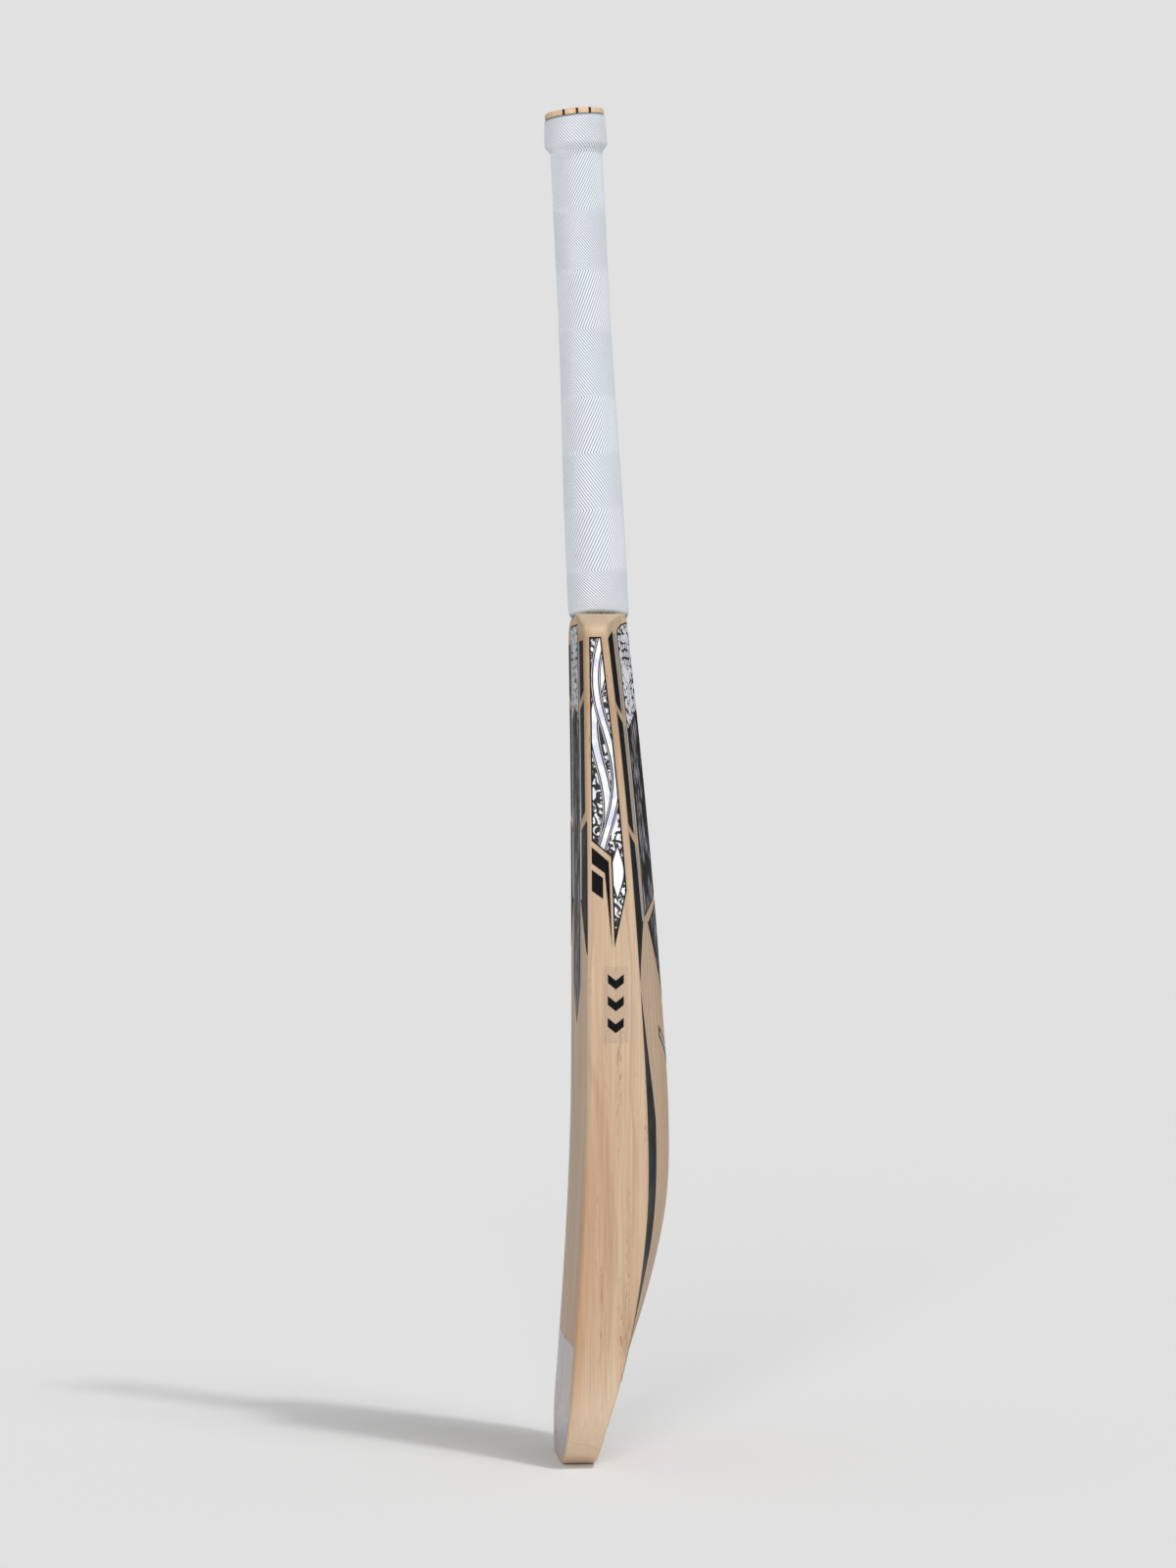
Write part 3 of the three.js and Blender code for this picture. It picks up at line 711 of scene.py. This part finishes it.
def makeGrip():
    stations = gripStations()
    columns = grip["ribs"] * grip["ribColumns"]
    rows = [(stations[0][0] + 0.1, -1.2, 0, 0)]
    for along, twist in stations:
        fromEnd = min(along - grip["start"], gripEnd - along)
        ease = smoothStep(fromEnd, -0.2, 1.4)
        rows.append((along, -0.75 * (1 - ease), ease, twist))
    topTwist = stations[-1][1]
    rows.append((gripEnd, -0.9, 0, topTwist))
    insideStops = [gripEnd, 297, 290, 200, 110, 30, grip["start"]]
    rows += [(s, None, 0, topTwist) for s in insideStops]

    def pointAt(column, row):
        along, offset, rib, twist = rows[row]
        share = (column % grip["ribColumns"]) / grip["ribColumns"]
        height = grip["ribHeight"] * math.sin(math.pi * share) ** 0.7 * rib
        if offset is None:
            radius = coreRadius(along) + grip["inside"]
        else:
            radius = gripRadius(along) - grip["ribHeight"] + height + offset
        angle = 2 * math.pi * (column % columns) / columns + twist
        slant = handle["topSlant"] * smoothStep(along, gripEnd - 6, gripEnd)
        # the lower end is level, and dips over the face and the back
        low = 1 - smoothStep(along, grip["start"], grip["start"] + grip["dipFade"])
        slant -= math.tan(handle["lean"]) * low
        return handlePoint(angle, radius, along - grip["dip"] * low * math.sin(angle) ** 2, slant)

    bm = gridOnto(columns, len(rows) - 1, pointAt)
    # how far each point lies down between the ribs, used to paint shade into the grooves
    layer = bm.verts.layers.float.new("grooveShade")
    toHandle = handlePlace.inverted()
    for v in bm.verts:
        local = toHandle @ v.co
        radius = math.hypot(local.x / handle["oval"], local.y)
        v[layer] = smoothStep(gripRadius(local.z) - radius, 0.02, grip["ribHeight"])
    bmesh.ops.bridge_loops(bm, edges=[e for e in bm.edges if e.is_boundary])
    bmesh.ops.recalc_face_normals(bm, faces=bm.faces)
    return bm


def makeGripRubber():
    material, tree, shader = newMaterial("gripRubber", {"Specular IOR Level": 0.45})
    place = objectPlace(tree)
    grooveShade = addNode(tree, "ShaderNodeAttribute", attribute_name="grooveShade").outputs["Fac"]
    # the grooves between the ribs are painted dark grey: painted shade in the recesses of one pale rubber
    base = wash(tree, grooveShade, tint(0xE6EBF0), tint(0x7A838F))
    feel = handled(tree, place, base, tint(0xC4C2BE), 0.08, 0.38, 0.5)
    fineGrain = cloud(tree, place, 5000.0, 2.0, 0.6)
    wire(tree, shader, feel["Color"], feel["Roughness"], bumpFrom(tree, fineGrain, 0.15, 0.0001))
    return material


print("grip")
gripRubber = makeGripRubber()
addPiece(makeGrip(), "gripSleeve", [gripRubber], ["grip"], 80)


# stickers: flat outlines of across and down, bordered, cut into strips and laid on the blade

def onFace(across, z, lift, side):
    corner = blade["faceCorner"]
    over = max(0, abs(across) - (halfWidth - corner))
    drop = corner - math.sqrt(max(0, corner ** 2 - over ** 2))
    return Vector((side * across, faceAt(z) - crownAt(across) + drop - lift, z))


def onBack(across, z, lift, side):
    return Vector((side * across, backAt(abs(across), z) + lift, z))


def labelFront(z):
    return faceAt(z) + 3


def labelDepth(z):
    return backCornerAt(z) - 4 - labelFront(z)


def onEdge(across, z, lift, side):
    return Vector((side * (halfWidth + lift), labelFront(z) + across, z))


def down(distance):
    return bladeTop - distance


def makeSheet(outline, surface, side=1, border=0, lift=0.04, thick=0.14, step=6):
    # border gives the rim material 1
    bm = bmesh.new()
    flat = bm.faces.new([bm.verts.new((across, 0, down(d))) for across, d in outline])
    flat.normal_update()
    if border:
        bmesh.ops.inset_region(bm, faces=[flat], thickness=border, use_even_offset=True, use_boundary=True)
        for face in bm.faces:
            face.material_index = 1
        flat.material_index = 0
    depths = [d for _, d in outline]
    reach = [a for a, _ in outline]
    cuts = [((0, 0, down(d)), (0, 0, 1)) for d in range(int(min(depths)), int(max(depths)) + 1, step)]
    cuts += [((a, 0, 0), (1, 0, 0)) for a in range(int(min(reach)), int(max(reach)) + 1, step)]
    for point, direction in cuts:
        bmesh.ops.bisect_plane(bm, geom=[*bm.verts, *bm.edges, *bm.faces], dist=0.001, plane_co=point,
                               plane_no=direction)
    printMap = bm.loops.layers.uv.new("print")
    for face in bm.faces:
        for corner in face.loops:
            corner[printMap].uv = (corner.vert.co.x / 10, (bladeTop - corner.vert.co.z) / 10)
    pulled = bmesh.ops.extrude_face_region(bm, geom=bm.faces[:])["geom"]
    raised = {v for v in pulled if isinstance(v, bmesh.types.BMVert)}
    for v in bm.verts:
        v.co = surface(v.co.x, v.co.z, lift + thick if v in raised else lift, side)
    bmesh.ops.recalc_face_normals(bm, faces=bm.faces)
    return bm


def joinSheets(sheets):
    whole = sheets[0]
    for sheet in sheets[1:]:
        part = bpy.data.meshes.new("part")
        sheet.to_mesh(part)
        sheet.free()
        whole.from_mesh(part)
        bpy.data.meshes.remove(part)
    return whole


def printPlace(tree):
    return addNode(tree, "ShaderNodeUVMap", uv_map="print").outputs[0]


def finishPrint(tree, shader, base, dust, amount, glossLow, glossHigh):
    feel = handled(tree, objectPlace(tree), base, dust, amount, glossLow, glossHigh)
    wire(tree, shader, feel["Color"], feel["Roughness"], bumpFrom(tree, feel["Height"], 0.12, 0.0004))


def makeBlackPrint():
    material, tree, shader = newMaterial("blackPrint", {"Specular IOR Level": 0.08})
    place = objectPlace(tree)
    weave = cloud(tree, stretched(tree, place, (900, 900, 120), (0.5, 0, 0)), 1.0, 3.0, 0.7)
    base = wash(tree, between(tree, weave, 0.4, 0.75), tint(0x0A0A0C), tint(0x17171A))
    finishPrint(tree, shader, base, tint(0x403F3E), 0.1, 0.42, 0.55)
    return material


def makeSilverPrint():
    material, tree, shader = newMaterial("silverPrint", {"Metallic": 0.35, "Coat Weight": 0.3})
    place = objectPlace(tree)
    brushed = cloud(tree, stretched(tree, place, (700, 700, 30)), 1.0, 3.0, 0.6)
    base = wash(tree, between(tree, brushed, 0.3, 0.7), tint(0xB2B1B0), tint(0xD2D1CF))
    finishPrint(tree, shader, base, tint(0x8F8B86), 0.2, 0.24, 0.36)
    return material


def cellLines(tree, where, scale, thickness, jitter):
    inputs = {"Vector": where, "Scale": scale, "Randomness": jitter}
    cells = addNode(tree, "ShaderNodeTexVoronoi", inputs, feature="DISTANCE_TO_EDGE",
                    voronoi_dimensions="2D")
    return between(tree, cells.outputs["Distance"], thickness * 0.55, thickness * 1.1, 1.0, 0.0)


def makeLabelPrint():
    # drawn scales on white, crossed by two sweeping white bands with dark outlines; uv is in centimetres
    material, tree, shader = newMaterial("labelPrint", {"Coat Weight": 0.3, "Coat Roughness": 0.2})
    uv = printPlace(tree)
    apart = addNode(tree, "ShaderNodeSeparateXYZ", {0: uv})
    across, below = apart.outputs[0], apart.outputs[1]
    bend = cloud(tree, uv, 0.8, 2.0, 0.5)
    shift = calc(tree, "MULTIPLY", bend, 1.8)
    bent = addNode(tree, "ShaderNodeVectorMath", {0: uv, 1: shift}, operation="ADD").outputs[0]
    scales = cellLines(tree, stretched(tree, bent, (1.2, 0.85, 1)), 1.9, 0.24, 0.5)
    small = cellLines(tree, stretched(tree, bent, (1.0, 1.3, 1)), 2.6, 0.26, 0.45)
    region = cloud(tree, uv, 0.55, 1.0, 0.5)
    ink = wash(tree, between(tree, region, 0.5, 0.53), scales, small)
    blank = between(tree, cloud(tree, stretched(tree, uv, (0.8, 0.42, 1)), 1.0, 1.0, 0.4), 0.55, 0.57)
    ink = wash(tree, blank, ink, (0, 0, 0, 1))
    for swing, rate, start, middle, half in ((0.42, 0.62, 0.3, 0.62, 0.2), (0.6, 0.5, 2.6, 0.95, 0.16)):
        turn = calc(tree, "MULTIPLY_ADD", below, rate, start)
        sway = calc(tree, "MULTIPLY", calc(tree, "SINE", turn), swing)
        place = calc(tree, "ABSOLUTE", calc(tree, "SUBTRACT", calc(tree, "SUBTRACT", across, middle), sway))
        place = calc(tree, "ADD", place, calc(tree, "MULTIPLY", calc(tree, "SUBTRACT", bend, 0.5), 0.05))
        outer = between(tree, place, half + 0.15, half + 0.18, 1.0, 0.0)
        ink = wash(tree, outer, ink, (1, 1, 1, 1))
        gapShare = calc(tree, "MULTIPLY", between(tree, place, half + 0.07, half + 0.08),
                        between(tree, place, half + 0.1, half + 0.11, 1.0, 0.0))
        ink = wash(tree, gapShare, ink, (0, 0, 0, 1))
        ink = wash(tree, between(tree, place, half - 0.02, half, 1.0, 0.0), ink, (0, 0, 0, 1))
    # a plain leaf with a dark outline fills the point
    leafTurn = between(tree, below, 13.7, 18.6, 0.0, math.pi)
    leafHalf = calc(tree, "MULTIPLY_ADD", calc(tree, "SINE", leafTurn), 0.5, -0.08)
    fromLeaf = calc(tree, "ABSOLUTE", calc(tree, "SUBTRACT", across, 1.6))
    leafPlace = calc(tree, "SUBTRACT", fromLeaf, leafHalf)
    ink = wash(tree, between(tree, leafPlace, 0.03, 0.06, 1.0, 0.0), ink, (1, 1, 1, 1))
    ink = wash(tree, between(tree, leafPlace, -0.07, -0.04, 1.0, 0.0), ink, (0, 0, 0, 1))
    bluer = between(tree, cloud(tree, uv, 0.9, 2.0, 0.5), 0.4, 0.62)
    ground = wash(tree, bluer, tint(0xF4F4F6), tint(0xD5D8E6))
    base = wash(tree, ink, ground, tint(0x0F0E10))
    finishPrint(tree, shader, base, tint(0xB9B4AC), 0.15, 0.26, 0.36)
    return material


def makeSketchPrint():
    # light drawn panel at the top, then black with pale brushed patches and scratchy strokes
    material, tree, shader = newMaterial("sketchPrint", {"Specular IOR Level": 0.1})
    uv = printPlace(tree)
    apart = addNode(tree, "ShaderNodeSeparateXYZ", {0: uv})
    across, below = apart.outputs[0], apart.outputs[1]
    edgeLine = calc(tree, "ADD", below, calc(tree, "MULTIPLY", calc(tree, "ABSOLUTE", across), -0.55))
    drawn = cellLines(tree, stretched(tree, uv, (1.15, 0.85, 1)), 2.4, 0.2, 0.5)
    curls = cloud(tree, uv, 0.8, 2.0, 0.4, 1.2)
    curlTurn = calc(tree, "FRACT", calc(tree, "MULTIPLY", curls, 6.0))
    fromCurl = calc(tree, "ABSOLUTE", calc(tree, "SUBTRACT", curlTurn, 0.5))
    curlLine = between(tree, fromCurl, 0.08, 0.13, 1.0, 0.0)
    lightInk = wash(tree, between(tree, cloud(tree, uv, 0.6, 1.0, 0.5), 0.43, 0.46), drawn, curlLine)
    lightPanel = wash(tree, lightInk, tint(0xE2E4EA), tint(0x151417))
    strokes = cloud(tree, stretched(tree, uv, (5.5, 0.5, 1), (0, 0, 0.35)), 1.0, 4.0, 0.7)
    patch = cloud(tree, stretched(tree, uv, (0.7, 0.3, 1)), 1.0, 2.0, 0.5)
    pale = calc(tree, "MULTIPLY", between(tree, strokes, 0.47, 0.58), between(tree, patch, 0.45, 0.57))
    darkPanel = wash(tree, pale, tint(0x131215), tint(0x9FA1A8))
    hatch = cloud(tree, stretched(tree, uv, (7, 1.2, 1), (0, 0, -0.5)), 1.0, 2.0, 0.6)
    darkPanel = wash(tree, between(tree, hatch, 0.66, 0.7, 0, 0.5), darkPanel, tint(0x77777C))
    base = wash(tree, between(tree, edgeLine, 5.6, 5.62), lightPanel, darkPanel)
    finishPrint(tree, shader, base, tint(0x7E7A76), 0.16, 0.38, 0.5)
    return material


def makeClearFilm(name, baseTint, alpha):
    material, tree, shader = newMaterial(name, {"Coat Weight": 0.4, "Coat Roughness": 0.15})
    place = objectPlace(tree)
    haze = cloud(tree, stretched(tree, place, (60, 60, 18)), 1.0, 3.0, 0.6)
    tree.links.new(between(tree, haze, 0.3, 0.7, alpha - 0.06, alpha + 0.06), shader.inputs["Alpha"])
    finishPrint(tree, shader, baseTint, tint(0xE0DDD8), 0.3, 0.24, 0.38)
    return material


blackPrint = makeBlackPrint()
silverPrint = makeSilverPrint()
labelPrint = makeLabelPrint()
sketchPrint = makeSketchPrint()
toeFilmFinish = makeClearFilm("toeFilm", tint(0xDEDADD), 0.46)
badgeFilm = makeClearFilm("badgeFilm", tint(0xD3BFA8), 0.13)

edgePrint = {
    "labelTop": 16,
    "notch": 142,
    "labelBottom": 208,
    "border": 0.9,
    "spear": 2,
    "backKnots": (173, 150, 120, 90, 60, 35),
    "hookTop": 146,
    "hookGap": 1.6,
    "tabTop": 160,
    "tabWidth": 7,
    "badgeTop": 220,
    "badgeBottom": 267,
    "badgeHalf": 8,
    "badgeShift": 1.5,
    "markHalf": 5,
    "markBar": 5.5,
    "markSpacing": 13.5,
}


def labelBackLine(distance):
    return labelDepth(down(distance))


def spearLine(distance):
    return labelBackLine(distance) / 2 + edgePrint["spear"]


def addEdgeStickers(side, word):
    top, notch, bottom = edgePrint["labelTop"], edgePrint["notch"], edgePrint["labelBottom"]
    outline = [(0, top), (0, notch), (spearLine(notch + 10), notch + 10), (spearLine(bottom), bottom)]
    outline += [(labelBackLine(d), d) for d in (*edgePrint["backKnots"], top)]
    label = makeSheet(outline, onEdge, side, border=edgePrint["border"], step=5)
    addPiece(label, "edgeLabel" + word, [labelPrint, blackPrint], ["edge_label_" + word.lower()])
    hookTop, gap = edgePrint["hookTop"], edgePrint["hookGap"]
    hook = [(0, hookTop), (0, hookTop + 10), (spearLine(hookTop + 16) - gap - 2.8, hookTop + 16),
            (spearLine(bottom) - gap, bottom), (spearLine(hookTop + 9) - gap, hookTop + 9)]
    addPiece(makeSheet(hook, onEdge, side), "edgeHook" + word, [blackPrint], ["edge_hook_" + word.lower()])
    tabTop, tabWidth = edgePrint["tabTop"], edgePrint["tabWidth"]
    tab = [(0, tabTop), (0, tabTop + 13), (tabWidth, tabTop + 18), (tabWidth, tabTop + 5)]
    addPiece(makeSheet(tab, onEdge, side), "edgeTab" + word, [blackPrint], ["edge_tab_" + word.lower()])
    high, low = edgePrint["badgeTop"], edgePrint["badgeBottom"]
    middle = labelDepth(down((high + low) / 2)) / 2 + edgePrint["badgeShift"]
    half = edgePrint["badgeHalf"]
    film = [(middle - half, high), (middle - half, low), (middle + half, low), (middle + half, high)]
    marks = []
    bar, left, right = edgePrint["markBar"], middle - edgePrint["markHalf"], middle + edgePrint["markHalf"]
    for i in range(3):
        markTop = high + 4.5 + edgePrint["markSpacing"] * i
        mark = [(left, markTop), (middle, markTop + 4), (right, markTop), (right, markTop + bar),
                (middle, markTop + 4 + bar), (left, markTop + bar)]
        sheet = makeSheet(mark, onEdge, side, lift=0.11, thick=0.06)
        for face in sheet.faces:
            face.material_index = 1
        marks.append(sheet)
    badge = joinSheets([makeSheet(film, onEdge, side, thick=0.06), *marks])
    addPiece(badge, "edgeBadge" + word, [badgeFilm, blackPrint], ["edge_badge_" + word.lower()])


frontPrint = {
    "outer": [46.5, 46.5, 52.2],
    "inner": 30,
    "tops": [18, 55, 130],
    "bottoms": [49, 124, 213],
    "line": (28.8, 23.6),
    "slant": 6,
    "topSlant": 0,
    "dart": 33,
}
backPrint = {
    "outer": [51.5, 51.5, 51.5],
    "inner": 39.5,
    "tops": [17, 62, 137],
    "bottoms": [56, 131, 229],
    "line": (38.2, 33.4),
    "slant": 7,
    "topSlant": -5,
    "dart": 36,
}


def addBands(settings, surface, side, word, name, node):
    # black bands down a corner with a silver line on their inner side, the last one ending in a dart
    inner, slant, dart = settings["inner"], settings["slant"], settings["dart"]
    for i, (top, bottom) in enumerate(zip(settings["tops"], settings["bottoms"])):
        outer = settings["outer"][i]
        isLast = i == 2
        innerEnd = (inner - 5, bottom - dart) if isLast else (inner, bottom + slant)
        innerTop = top + (slant if i > 0 else settings["topSlant"])
        black = makeSheet([(outer, top), (inner, innerTop), innerEnd, (outer, bottom)], surface, side, step=5)
        lineOuter, lineInner = settings["line"]
        lineEnd = bottom - dart - 1 if isLast else bottom + slant
        line = makeSheet([(lineOuter, innerTop + 0.5), (lineInner, innerTop + 2), (lineInner, lineEnd + 1),
                          (lineOuter, lineEnd - 0.5)], surface, side, step=5)
        for face in line.faces:
            face.material_index = 1
        addPiece(joinSheets([black, line]), name + str(i + 1) + word, [blackPrint, silverPrint],
                 [node + "_" + str(i + 1) + "_" + word.lower()])


lowerPrint = {
    "dart": [(2, 180), (2, 242), (24.5, 194)],
    "dartBorder": 0.7,
    "stripeTop": 236,
    "stripeEnd": 55,
    "stripeOuter": 52,
    "stripeInner": 33.5,
    "stripeStraight": 40,
}


def addBackLower(side, word):
    dart = makeSheet(lowerPrint["dart"], onBack, side, border=lowerPrint["dartBorder"], step=4)
    addPiece(dart, "backDart" + word, [sketchPrint, blackPrint], ["back_dart_" + word.lower()])
    top, bottom = lowerPrint["stripeTop"], bladeTop - lowerPrint["stripeEnd"]
    outer, inner = lowerPrint["stripeOuter"], lowerPrint["stripeInner"]
    straight = lowerPrint["stripeStraight"]
    middle = (top + bottom) / 2
    outline = [(outer, top), (inner, middle - straight), (inner, middle + straight), (outer, bottom)]
    stripe = makeSheet(outline, onBack, side, step=5)
    addPiece(stripe, "backStripe" + word, [blackPrint], ["back_stripe_" + word.lower()])


centrePrint = {
    "border": 0.9,
    "faceHalf": 21,
    "faceTop": 7,
    "faceCorner": 232,
    "facePoint": 257,
    "backHalf": 30.5,
    "backTop": 15,
    "backRise": 10,
    "backCorner": 190,
    "backPoint": 174,
    "chevron": [(-18, 258), (0, 277), (18, 258), (18, 265), (0, 284), (-18, 265)],
    "chevronBorder": 1.5,
}


def addCentreStickers():
    half, top, corner = centrePrint["faceHalf"], centrePrint["faceTop"], centrePrint["faceCorner"]
    point = centrePrint["facePoint"]
    faceShape = [(-half, top), (-half, corner), (0, point), (half, corner), (half, top)]
    faceSheet = makeSheet(faceShape, onFace, border=centrePrint["border"], step=6)
    addPiece(faceSheet, "faceSticker", [sketchPrint, blackPrint], ["face_sticker"])
    half, corner, point = centrePrint["backHalf"], centrePrint["backCorner"], centrePrint["backPoint"]
    backShape = []
    for a in range(0, 181, 10):
        rise = centrePrint["backRise"] * math.sin(math.radians(a)) ** 0.8
        backShape.append((half * math.cos(math.radians(a)), centrePrint["backTop"] - rise))
    backShape += [(-half, corner), (0, point), (half, corner)]
    backSheet = makeSheet(backShape, onBack, border=centrePrint["border"], step=4)
    addPiece(backSheet, "backSticker", [sketchPrint, blackPrint], ["back_sticker"])
    chevron = makeSheet(centrePrint["chevron"], onBack, border=centrePrint["chevronBorder"], step=3)
    addPiece(chevron, "backBadge", [silverPrint, blackPrint], ["back_badge"])


toeFilm = {"top": 76, "inset": 4.5, "thick": 0.08}


def addToeFilm():
    inset, top = toeFilm["inset"], bladeTop - toeFilm["top"]
    shape = [(0, top), (halfWidth - inset, top)]
    wide, high = blade["toeCorner"][0] - inset, blade["toeCorner"][1] - inset
    for i in range(0, 13):
        angle = math.radians(90 * i / 12)
        across = blade["toeFlat"] + wide * math.cos(angle)
        shape.append((across, bladeTop - (blade["toeCorner"][1] - high * math.sin(angle))))
    right = shape[1:]
    whole = right + [(-a, d) for a, d in reversed(right)]
    film = makeSheet(whole, onFace, thick=toeFilm["thick"], step=5)
    addPiece(film, "toeFilmSheet", [toeFilmFinish], ["toe_film"])


print("stickers")
for side, word in ((1, "Right"), (-1, "Left")):
    addEdgeStickers(side, word)
    addBands(frontPrint, onFace, side, word, "frontBand", "front_band")
    addBands(backPrint, onBack, side, word, "backBand", "back_band")
    addBackLower(side, word)
addCentreStickers()
addToeFilm()


# studio: a floor and a surround of one even tone, a broad key from the edge side, and a sun with a halo
# whose shadow is dark at the toe and fades along its length

studio = {
    "tone": 0.752,
    "ambient": 0.38,
    "mirrored": 0.05,
    "keyFrom": (1.0, -0.22, 0.32),
    "keyShare": 0.46,
    "keySoftness": 24,
    "sunFrom": (0.38, 0.33, 0.92),
    "sunShare": 0.25,
    "sunSoftness": 4,
    "haloShare": 0.19,
    "haloSoftness": 18,
}


def addSun(name, direction, share, softness):
    lamp = bpy.data.lights.new(name, "SUN")
    lamp.energy = share * math.pi
    lamp.angle = math.radians(softness)
    holder = bpy.data.objects.new(name, lamp)
    holder.rotation_euler = Vector(direction).to_track_quat("Z", "Y").to_euler()
    scene.collection.objects.link(holder)
    return share * Vector(direction).normalized().z


def addStudio():
    world = bpy.data.worlds.new("surround")
    scene.world = world
    world.use_nodes = True
    tree = world.node_tree
    tree.nodes.clear()
    tone, ambient = studio["tone"], studio["ambient"]
    rays = addNode(tree, "ShaderNodeLightPath").outputs
    level = addNode(tree, "ShaderNodeMapRange", {0: rays["Is Camera Ray"], 3: ambient, 4: tone}).outputs[0]
    limits = {0: rays["Is Glossy Ray"], 3: level, 4: studio["mirrored"]}
    level = addNode(tree, "ShaderNodeMapRange", limits).outputs[0]
    surround = addNode(tree, "ShaderNodeBackground", {"Color": (1, 1, 1, 1), "Strength": level})
    output = tree.nodes.new("ShaderNodeOutputWorld")
    tree.links.new(surround.outputs[0], output.inputs[0])
    scene.view_settings.view_transform = "Standard"
    upward = addSun("keyLight", studio["keyFrom"], studio["keyShare"], studio["keySoftness"])
    upward += addSun("shadowSun", studio["sunFrom"], studio["sunShare"], studio["sunSoftness"])
    upward += addSun("haloSun", studio["sunFrom"], studio["haloShare"], studio["haloSoftness"])
    bm = bmesh.new()
    bmesh.ops.create_grid(bm, x_segments=1, y_segments=1, size=60)
    floor = draftOf(bm, "floor")
    material, floorTree, shader = newMaterial("paleFloor", {"Roughness": 1.0, "Specular IOR Level": 0.0})
    shade = tone / (ambient + upward)
    fleck = cloud(floorTree, objectPlace(floorTree), 3.0, 2.0, 0.5)
    low = (shade * 0.998,) * 3 + (1,)
    high = (shade * 1.002,) * 3 + (1,)
    floorTree.links.new(wash(floorTree, fleck, low, high), shader.inputs["Base Color"])
    floor.data.materials.append(material)


viewpoint = {"lens": 94.6, "sensor": 36, "place": (2.5876, -0.2448, 0.425), "turn": (90, 0, 84.4)}


def addCamera():
    lens = bpy.data.cameras.new("camera")
    lens.lens = viewpoint["lens"]
    lens.sensor_width = viewpoint["sensor"]
    lens.clip_end = 200
    holder = bpy.data.objects.new("camera", lens)
    holder.location = viewpoint["place"]
    holder.rotation_euler = [math.radians(a) for a in viewpoint["turn"]]
    scene.collection.objects.link(holder)
    scene.camera = holder


print("studio")
addStudio()
addCamera()
